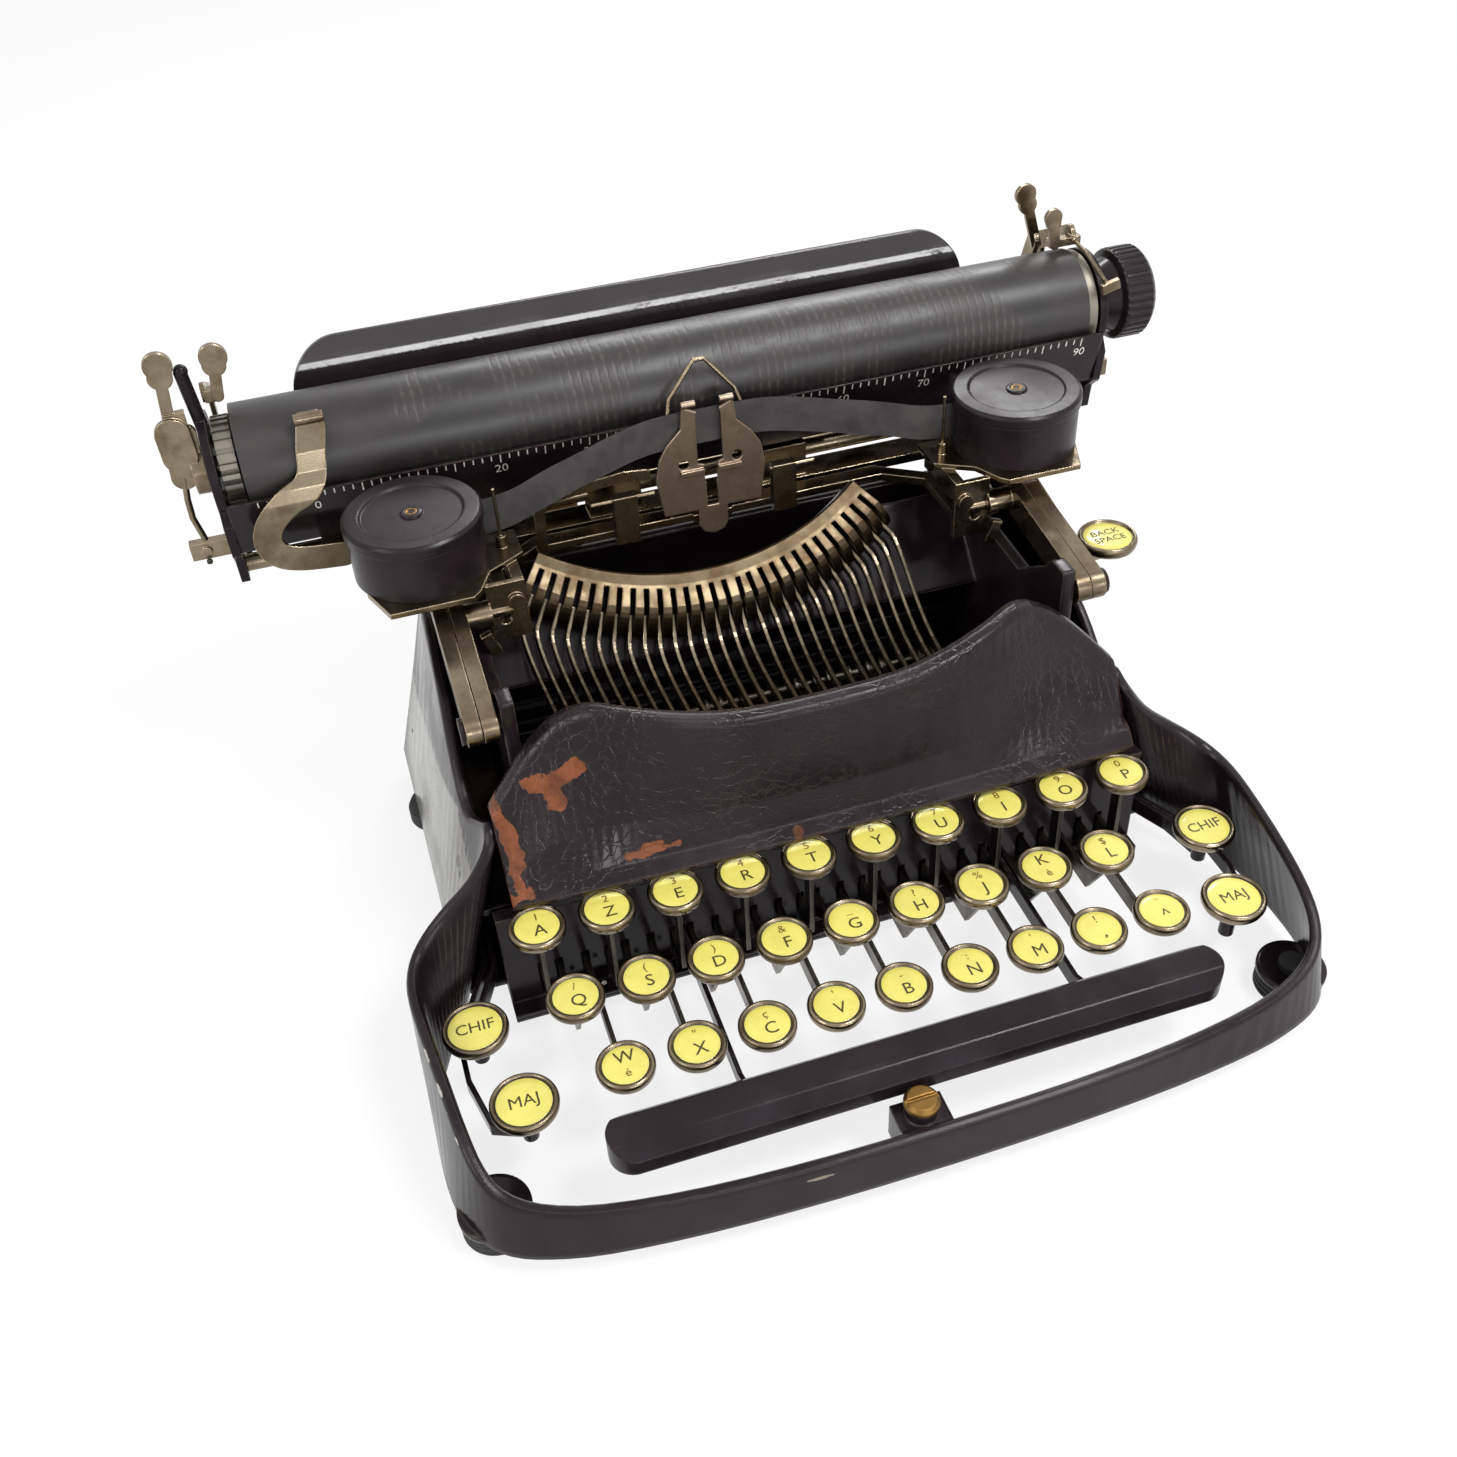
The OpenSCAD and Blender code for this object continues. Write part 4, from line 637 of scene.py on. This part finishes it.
FINISH_MAKERS = {
    "casting": casting_enamel,
    "shield": shield_enamel,
    "enamel": lambda: enamel("black enamel"),
    "carriage": carriage_metal,
    "gloss enamel": lambda: enamel("paper table enamel", wear=0.35, gloss=(0.05, 0.13), shine=0.8),
    "lid enamel": lambda: enamel("ribbon can enamel", wear=0.3, gloss=(0.24, 0.42)),
    "nickel": lambda: plated("worn nickel", colours().nickel, gloss=(0.16, 0.38), tarnish=(0.11, 0.065, 0.03),
                             amount=0.6),
    "pale nickel": lambda: plated("spoon nickel", (0.34, 0.28, 0.19), gloss=(0.22, 0.4), tarnish=(0.10, 0.06, 0.03),
                                  amount=0.8, scale=130.0),
    "bronze": lambda: plated("bronze comb", colours().bronze, gloss=(0.28, 0.44), tarnish=(0.07, 0.035, 0.015),
                             amount=0.8, scale=110.0),
    "dull nickel": lambda: plated("dull nickel", (0.36, 0.28, 0.21), gloss=(0.38, 0.55), tarnish=(0.16, 0.09, 0.05),
                                  amount=0.5),
    "brass": lambda: plated("dull brass", (0.30, 0.17, 0.05), gloss=(0.3, 0.5), tarnish=(0.12, 0.06, 0.02)),
    "steel": lambda: plated("oiled steel", (0.11, 0.10, 0.085), gloss=(0.25, 0.45), tarnish=(0.06, 0.04, 0.025),
                            amount=0.7),
    "bright steel": lambda: plated("bright steel", (0.55, 0.50, 0.42), gloss=(0.15, 0.3)),
    "foot rubber": lambda: rubber("foot rubber"),
    "roll rubber": lambda: rubber("feed roll rubber", colour=(0.02, 0.02, 0.02)),
    "platen": platen_rubber,
    "card": card_paper,
    "ink": lambda: matte_ink_and_painted_shade("printed ink", (0.055, 0.04, 0.008)),
    "figure ink": lambda: matte_ink_and_painted_shade("brown figure ink", (0.17, 0.09, 0.012)),
    "type metal": lambda: plated("type bar steel", (0.30, 0.25, 0.18), gloss=(0.2, 0.36),
                                 tarnish=(0.07, 0.045, 0.02), amount=0.7, scale=60.0),
    # Near-black painted shade for screw slots, key-top joints, can-lid holes and the shadow line under the lids.
    "painted_shade": lambda: matte_ink_and_painted_shade("painted shade in recesses", (0.004, 0.004, 0.004)),
    "white paint": lambda: matte_ink_and_painted_shade("white paint", (0.62, 0.6, 0.55)),
    "cloth": inked_cloth,
}
_finishes = {}


def finish(name):
    if name not in _finishes:
        _finishes[name] = FINISH_MAKERS[name]()
    return _finishes[name]


NODE_FINISHES = {
    "base_frame": "casting", "front_shield": "shield", "rubber_feet": "foot rubber", "lever_comb": "enamel",
    "lever_shaft": "steel", "type_segment": "bronze", "type_bars": "type metal", "middle_type_bar": "type metal",
    "space_bar": "enamel", "figures_shift": "enamel", "capitals_shift": "enamel", "front_screw": "brass",
    "fold_frame": "nickel", "lift_frame": "nickel", "ribbon_cans": "lid enamel", "left_spool": "steel",
    "right_spool": "steel", "ribbon_vibrator": "dull nickel", "backspace_key": "nickel", "carriage_frame": "carriage",
    "platen": "platen", "platen_knob": "enamel", "paper_table": "gloss enamel", "paper_scale": "enamel",
    "feed_rollers": "roll rubber", "line_space_lever": "nickel", "carriage_release": "nickel",
    "paper_release": "nickel", "paper_finger": "nickel", "margin_stops": "pale nickel", "spring_drum": "brass",
}


# Mesh building in machine millimetres


def circle(steps):
    """The cosine and sine of each step round a circle."""
    return [(math.cos(2 * math.pi * k / steps), math.sin(2 * math.pi * k / steps)) for k in range(steps)]


def directions(path):
    """The way a path runs at each of its points."""
    last = len(path) - 1
    return [(path[min(i + 1, last)] - path[max(i - 1, 0)]).normalized() for i in range(last + 1)]


class Shape:
    """Collects points and faces, with a finish for each face, and turns them into one object."""

    def __init__(self):
        self.points, self.faces, self.slots, self.finishes = [], [], [], []

    def slot_of(self, finish_name):
        if finish_name not in self.finishes:
            self.finishes.append(finish_name)
        return self.finishes.index(finish_name)

    def add(self, points, faces, finish_name):
        start = len(self.points)
        self.points += [Vector(p) for p in points]
        self.faces += [[start + i for i in face] for face in faces]
        self.slots += [self.slot_of(finish_name)] * len(faces)

    def lathe(self, profile, place, finish_name, steps=48, turn=None):
        """Turns (radius, height) pairs round an axis that stands at place along z, or along turn's z."""
        rings = [[Vector((r * c, r * s, h)) for c, s in circle(steps)] for r, h in profile]
        self.loft(rings, finish_name, place, turn, closed=True)

    def loft(self, rings, finish_name, place=(0, 0, 0), turn=None, closed=False, caps=False):
        n = len(rings[0])
        points = [p for ring in rings for p in ring]
        if turn is not None:
            points = [turn @ p for p in points]
        points = [p + Vector(place) for p in points]
        faces = []
        for i in range(len(rings) - 1):
            for k in range(n if closed else n - 1):
                k2 = (k + 1) % n
                faces.append([i * n + k, i * n + k2, (i + 1) * n + k2, (i + 1) * n + k])
        if caps:
            faces.append(list(range(n - 1, -1, -1)))
            faces.append([(len(rings) - 1) * n + k for k in range(n)])
        self.add(points, faces, finish_name)

    def tube(self, path, radius, finish_name, sides=10):
        """A round bar along a list of points."""
        rings = []
        side = None
        for p, along in zip(path, directions(path)):
            if side is None:
                side = along.orthogonal().normalized()
            side = (side - along * side.dot(along)).normalized()
            up = along.cross(side)
            rings.append([p + side * radius * c + up * radius * s for c, s in circle(sides)])
        self.loft(rings, finish_name, closed=True, caps=True)

    def words(self, text, height, place, finish_name, turn=None):
        """Flat lettering whose middle lies at place, standing up along y unless turned."""
        curve = bpy.data.curves.new("lettering", "FONT")
        curve.body = text
        curve.size = height * LETTERING_SIZE
        curve.align_x = "CENTER"
        curve.align_y = "CENTER"
        curve.resolution_u = 3
        holder = bpy.data.objects.new("lettering", curve)
        mesh = bpy.data.meshes.new_from_object(holder)
        points = [Vector(v.co) for v in mesh.vertices]
        faces = [list(p.vertices) for p in mesh.polygons]
        bpy.data.objects.remove(holder)
        bpy.data.curves.remove(curve)
        bpy.data.meshes.remove(mesh)
        if turn is not None:
            points = [turn @ p for p in points]
        self.add([p + Vector(place) for p in points], faces, finish_name)

    def build(self, name, body, smooth=40.0):
        mesh = bpy.data.meshes.new(name)
        mesh.from_pydata([at(*p) for p in self.points], [], self.faces)
        for finish_name in self.finishes:
            mesh.materials.append(finish(finish_name))
        mesh.polygons.foreach_set("material_index", self.slots)
        mesh.polygons.foreach_set("use_smooth", [True] * len(mesh.polygons))
        mesh.set_sharp_from_angle(angle=math.radians(smooth))
        mesh.update()
        piece = bpy.data.objects.new(name, mesh)
        bpy.context.scene.collection.objects.link(piece)
        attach(piece, body)
        return piece


def screw(shape, place, direction, d, finish_name="nickel", height=0.5):
    """A slotted screw head with a slightly domed top. Its slot is a flat dark quad of painted shade laid on the head.
    """
    turn = Vector(direction).to_track_quat("Z", "Y").to_matrix()
    r = d / 2
    profile = [(r, -0.3), (r, height * 0.55), (r * 0.86, height * 0.9), (r * 0.5, height), (0.001, height * 1.06)]
    shape.lathe(profile, place, finish_name, steps=24, turn=turn)
    slot = turn @ Matrix.Rotation(math.radians(30.0), 3, "Z")
    w, t, top = r * 0.92, max(0.11 * d, 0.14), height * 1.08
    corners = [(-w, -t, top), (w, -t, top), (w, t, top), (-w, t, top)]
    shape.add([slot @ Vector(c) + Vector(place) for c in corners], [(0, 1, 2, 3)], "painted_shade")


def key_top(shape, place, d):
    """The ring with its rolled edge, a dark line of painted shade in the joint inside it and the domed card."""
    r = d / 2
    inner = r - RING_W
    ring = [(inner, -1.0), (inner + 0.04, -0.4), (r - 0.95, 0.02), (r - 0.7, 0.14), (r - 0.4, 0.1),
            (r - 0.1, -0.16), (r + 0.1, -0.6), (r + 0.14, -1.3), (r, -2.2), (r - 0.35, -2.9),
            (r - 1.5, -KEY_H - 0.12), (0.4, -KEY_H - 0.12)]
    joint = [(inner - 0.5, -0.44), (inner - 0.1, -0.5), (inner + 0.06, -0.52)]
    dome = [(inner - 0.32, -0.46), (inner - 0.42, -0.4), (r * 0.6, -0.31), (r * 0.3, -0.27), (0.001, -0.26)]
    for profile, finish_name in ((ring, "nickel"), (joint, "painted_shade"), (dome, "card")):
        shape.lathe(profile, place, finish_name, steps=56)


def key_place(row, column):
    return Vector((ROW_X[row] + column * KEY_PITCH, ROW_Y[row], ROW_Z[row]))


class TYPEWRITER_OT_dress_solids(bpy.types.Operator):
    """Gives every CAD node its finish"""

    bl_idname = "typewriter.dress_solids"
    bl_label = "Finishes of the solids"

    def execute(self, context):
        for name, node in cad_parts.items():
            look = finish(NODE_FINISHES.get(name, "steel"))
            node.data.materials.clear()
            node.data.materials.append(look)
        return {"FINISHED"}


class TYPEWRITER_OT_letter_keys(bpy.types.Operator):
    """Adds the ring, card and legend of each letter key"""

    bl_idname = "typewriter.letter_keys"
    bl_label = "Letter keys"

    def execute(self, context):
        letter, figure = sizes().letter * 1000, sizes().figure * 1000
        for row, legends in enumerate((TOP_ROW, HOME_ROW, LOW_ROW)):
            for column, (node, main, upper, lower) in enumerate(legends):
                shape = Shape()
                place = key_place(row, column)
                key_top(shape, place, KEY_D)
                main_at = (0.3, 2.1) if lower and not upper else (0.5, -1.7)
                for text, height, spot, ink in ((main, letter, main_at, "ink"),
                                                (upper, figure, (0.3, 2.8), "figure ink"),
                                                (lower, figure, (0.1, -2.6), "figure ink")):
                    if text:
                        shape.words(text, height, place + Vector((*spot, LEGEND_DROP)), ink)
                shape.build(node + "_top", node + "_body")
        return {"FINISHED"}


class TYPEWRITER_OT_shift_keys(bpy.types.Operator):
    """Adds the tops of the shift keys and of the back space key"""

    bl_idname = "typewriter.shift_keys"
    bl_label = "Shift and back space keys"

    def execute(self, context):
        for body, word, (x, y, z) in SHIFT_KEYS:
            shape = Shape()
            for side in (-1, 1):
                place = Vector((side * x, y, z))
                key_top(shape, place, SHIFT_KEY_D)
                shape.words(word, 3.3, place + Vector((0, 0, LEGEND_DROP)), "ink")
            shape.build(body + "_shift_tops", body)
        shape = Shape()
        place = Vector(BACK_SPACE_KEY)
        key_top(shape, place, SHIFT_KEY_D)
        for word, y in (("BACK", 1.7), ("SPACE", -1.7)):
            shape.words(word, 2.4, place + Vector((0, y, LEGEND_DROP)), "ink")
        shape.build("back_space_top", "back_space")
        return {"FINISHED"}


class TYPEWRITER_OT_scale_marks(bpy.types.Operator):
    """Paints the ticks and figures on the paper scale"""

    bl_idname = "typewriter.scale_marks"
    bl_label = "Marks on the scale"

    def execute(self, context):
        shape = Shape()
        top, foot = Vector((0, *SCALE_TOP)), Vector((0, *SCALE_FOOT))
        down = (foot - top).normalized()
        out = Vector((0, -0.05, -0.01))
        turn = Matrix.Rotation(math.atan2(-down.z, -down.y), 3, "X")
        half = Vector((0.17, 0, 0))
        for k in range(SCALE_TICKS):
            middle = top + out + Vector((SCALE_FIRST + k * LETTER_STEP, 0, 0))
            start, end = middle + down * 0.5, middle + down * (3.4 if k % 5 == 1 else 2.3)
            shape.add([end - half, end + half, start + half, start - half], [(0, 1, 2, 3)], "white paint")
            if k % 10 == 6:
                shape.words(str(k // 10 * 10), 2.8, middle + down * 5.6, "white paint", turn=turn)
        shape.build("scale_marks", "carriage")
        return {"FINISHED"}


def smooth_path(points, steps):
    """A soft curve through the points."""
    out = []
    points = [Vector(p) for p in points]
    last = len(points) - 1
    for i in range(last):
        a, b, c, d = points[max(i - 1, 0)], points[i], points[i + 1], points[min(i + 2, last)]
        for k in range(steps):
            t = k / steps
            out.append(b + t * (c - a) / 2 + t * t * (a - 2.5 * b + 2 * c - d / 2)
                       + t * t * t * (-a + 3 * b - 3 * c + d) / 2)
    return out + [points[-1]]


class TYPEWRITER_OT_ribbon(bpy.types.Operator):
    """Hangs the inked ribbon between the cans"""

    bl_idname = "typewriter.ribbon"
    bl_label = "Ribbon"

    def execute(self, context):
        half = smooth_path(RIBBON_HALF, 8)
        path = [Vector((-p.x, p.y, p.z)) for p in reversed(half[1:])] + half
        shape = Shape()
        rings = []
        travelled = 0.0
        for i, (p, along) in enumerate(zip(path, directions(path))):
            if i:
                travelled += (p - path[i - 1]).length
            out = Vector((along.y, -along.x, 0)).normalized()
            hang = 1.0 - min(1.0, abs(abs(p.x) - 40) / 26)
            ring = []
            for k in range(RIBBON_ROWS + 1):
                v = k / RIBBON_ROWS * 2 - 1
                wave = hang * (0.16 * math.sin(travelled * 0.33 + v * 1.1) + 0.2 * (1 - v * v))
                ring.append(p + Vector((0, 0, v * RIBBON_WIDTH / 2)) + out * wave)
            rings.append(ring)
        shape.loft(rings, "cloth")
        piece = shape.build("ribbon_cloth", "fold", smooth=80)
        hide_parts("ribbon")
        return {"FINISHED"}


class TYPEWRITER_OT_small_fasteners(bpy.types.Operator):
    """Adds rivets, screw heads and pin heads"""

    bl_idname = "typewriter.small_fasteners"
    bl_label = "Screws and rivets"

    def execute(self, context):
        comb_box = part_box("lever_comb")[0]
        front, foot = comb_box[1] * 1000 + SPACE_BAR_TO_CENTRE, comb_box[2] * 1000
        shape = Shape()
        for k in range(9):
            for beside, up in ((8.15, 2.6), (14.8, 5.2)):
                place = (ROW_X[0] + k * KEY_PITCH + beside, front, foot + up)
                screw(shape, place, (0, -1, 0), 1.5, "bright steel", height=0.4)
        shape.build("comb_rivets", "base")
        shape = Shape()
        seam = CAN_LID_FOOT - CAN_BOSS_Z
        # The dark disc in the lid's hole and the dark band under its rim are painted shade: the depth of the hole and
        # the shadow line below the lid.
        rings = (
            ([(3.1, -0.7), (2.9, 0.0), (2.3, 0.16), (1.7, 0.14), (1.5, -0.02)], "lid enamel", 36),
            ([(1.55, 0.06), (1.4, 0.2), (1.15, 0.2), (1.0, 0.0)], "brass", 24),
            ([(1.02, 0.03), (0.001, 0.03)], "painted_shade", 24),
            ([(CAN_R - 0.46, seam), (CAN_R - 0.44, seam - 0.45), (CAN_R - 0.52, seam - 0.5)], "painted_shade", 72),
        )
        for side in (-1, 1):
            for profile, finish_name, steps in rings:
                shape.lathe(profile, (side * CAN_CENTRE[0], CAN_CENTRE[1], CAN_BOSS_Z), finish_name, steps)
        shape.build("can_lid_centres", "fold")
        shape = Shape()
        shape.tube([Vector((x, 172.6, 129.6)) for x in (-110.2, -109.6, -103.2, -102.6)], 1.5, "nickel", sides=20)
        shape.build("finger_roll", "finger")
        shape = Shape()
        for x in (-142.6, -131.5, 135.6):
            screw(shape, (x, 182.9, 86.4), (0, -1, 0), 1.7, "steel")
        shape.build("bar_end_screws", "carriage")
        shape = Shape()
        for side in (-1, 1):
            screw(shape, (side * 83.1, 90, 81), (side, 0, 0), 1.0, "steel")
        shape.build("arm_screws", "lift")
        return {"FINISHED"}


class TYPEWRITER_OT_stage(bpy.types.Operator):
    """Sets the floor, the soft lights and the camera"""

    bl_idname = "typewriter.stage"
    bl_label = "Floor, lights and camera"

    def execute(self, context):
        scene = context.scene
        stage = scene.typewriter_stage
        scene.view_settings.view_transform = "Standard"
        self.make_world(scene, stage)
        self.make_floor(scene)
        self.make_lamps(scene)
        self.make_camera(scene, stage)
        return {"FINISHED"}

    def make_world(self, scene, stage):
        world = bpy.data.worlds.new("white room")
        scene.world = world
        world.use_nodes = True
        tree = world.node_tree
        tree.nodes.clear()
        seen = self.seen_rays(tree)
        strength = math_node(tree, "ADD", times(tree, seen, 1.0 - stage.world), stage.world)
        back = add(tree, "ShaderNodeBackground", {"Color": (1, 1, 1, 1), "Strength": strength})
        out = tree.nodes.new("ShaderNodeOutputWorld")
        tree.links.new(back.outputs[0], out.inputs["Surface"])

    def seen_rays(self, tree):
        rays = add(tree, "ShaderNodeLightPath")
        seen = math_node(tree, "MAXIMUM", rays.outputs["Is Camera Ray"], rays.outputs["Is Glossy Ray"])
        return math_node(tree, "MAXIMUM", seen, rays.outputs["Is Transmission Ray"])

    def make_floor(self, scene):
        mesh = bpy.data.meshes.new("floor")
        corners = [(x * FLOOR_REACH, y * FLOOR_REACH, 0) for x, y in ((-1, -1), (1, -1), (1, 1), (-1, 1))]
        mesh.from_pydata(corners, [], [(0, 1, 2, 3)])
        floor = bpy.data.objects.new("floor", mesh)
        floor.location.z = -FLOOR_DROP
        scene.collection.objects.link(floor)
        material = bpy.data.materials.new("white floor")
        material.use_nodes = True
        tree = material.node_tree
        tree.nodes.clear()
        paint = add(tree, "ShaderNodeBsdfDiffuse", {"Color": (0.92, 0.92, 0.92, 1)})
        glow = add(tree, "ShaderNodeEmission", {"Color": (1, 1, 1, 1), "Strength": 1.0})
        share = times(tree, self.seen_rays(tree), FLOOR_GLOW)
        mix = add(tree, "ShaderNodeMixShader", {0: share, 1: paint.outputs[0], 2: glow.outputs[0]})
        out = tree.nodes.new("ShaderNodeOutputMaterial")
        tree.links.new(mix.outputs[0], out.inputs["Surface"])
        mesh.materials.append(material)

    def make_lamps(self, scene):
        for name, place, aim, size, power in LAMPS:
            lamp = bpy.data.lights.new(name, "AREA")
            lamp.shape = "RECTANGLE"
            lamp.size, lamp.size_y = size
            lamp.energy = power
            holder = bpy.data.objects.new(name, lamp)
            holder.location = place
            holder.rotation_euler = (Vector(aim) - Vector(place)).to_track_quat("-Z", "Y").to_euler()
            scene.collection.objects.link(holder)

    def make_camera(self, scene, stage):
        camera = bpy.data.cameras.new("camera")
        camera.sensor_width = 36.0
        camera.lens = stage.lens
        camera.clip_start = 0.01
        holder = bpy.data.objects.new("camera", camera)
        turn = Matrix((CAMERA_RIGHT, CAMERA_UP, [-part for part in CAMERA_LOOK])).transposed()
        holder.matrix_world = Matrix.Translation(Vector(stage.camera)) @ turn.to_quaternion().to_matrix().to_4x4()
        scene.collection.objects.link(holder)
        scene.camera = holder


class TYPEWRITER_PT_panel(bpy.types.Panel):
    """Lists the steps that build the typewriter's looks"""

    bl_idname = "TYPEWRITER_PT_panel"
    bl_label = "Typewriter"
    bl_space_type = "VIEW_3D"
    bl_region_type = "UI"
    bl_category = "Typewriter"

    def draw(self, context):
        for name in SETTINGS:
            settings = getattr(context.scene, name)
            box = self.layout.box()
            for entry in settings.__annotations__:
                box.prop(settings, entry)
        for step in STEPS:
            self.layout.operator(step.bl_idname)


STEPS = (
    TYPEWRITER_OT_stage,
    TYPEWRITER_OT_dress_solids,
    TYPEWRITER_OT_letter_keys,
    TYPEWRITER_OT_shift_keys,
    TYPEWRITER_OT_scale_marks,
    TYPEWRITER_OT_ribbon,
    TYPEWRITER_OT_small_fasteners,
)
SETTINGS = {
    "typewriter_colours": TypewriterColours,
    "typewriter_sizes": TypewriterSizes,
    "typewriter_stage": TypewriterStage,
}
CLASSES = (*SETTINGS.values(), *STEPS, TYPEWRITER_PT_panel)


def register():
    for cls in CLASSES:
        bpy.utils.register_class(cls)
    for name, cls in SETTINGS.items():
        setattr(bpy.types.Scene, name, bpy.props.PointerProperty(type=cls))


def unregister():
    for name in SETTINGS:
        delattr(bpy.types.Scene, name)
    for cls in reversed(CLASSES):
        bpy.utils.unregister_class(cls)


def main():
    register()
    for step in STEPS:
        group, name = step.bl_idname.split(".")
        getattr(getattr(bpy.ops, group), name)()
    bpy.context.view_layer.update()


if __name__ == "__main__":
    main()
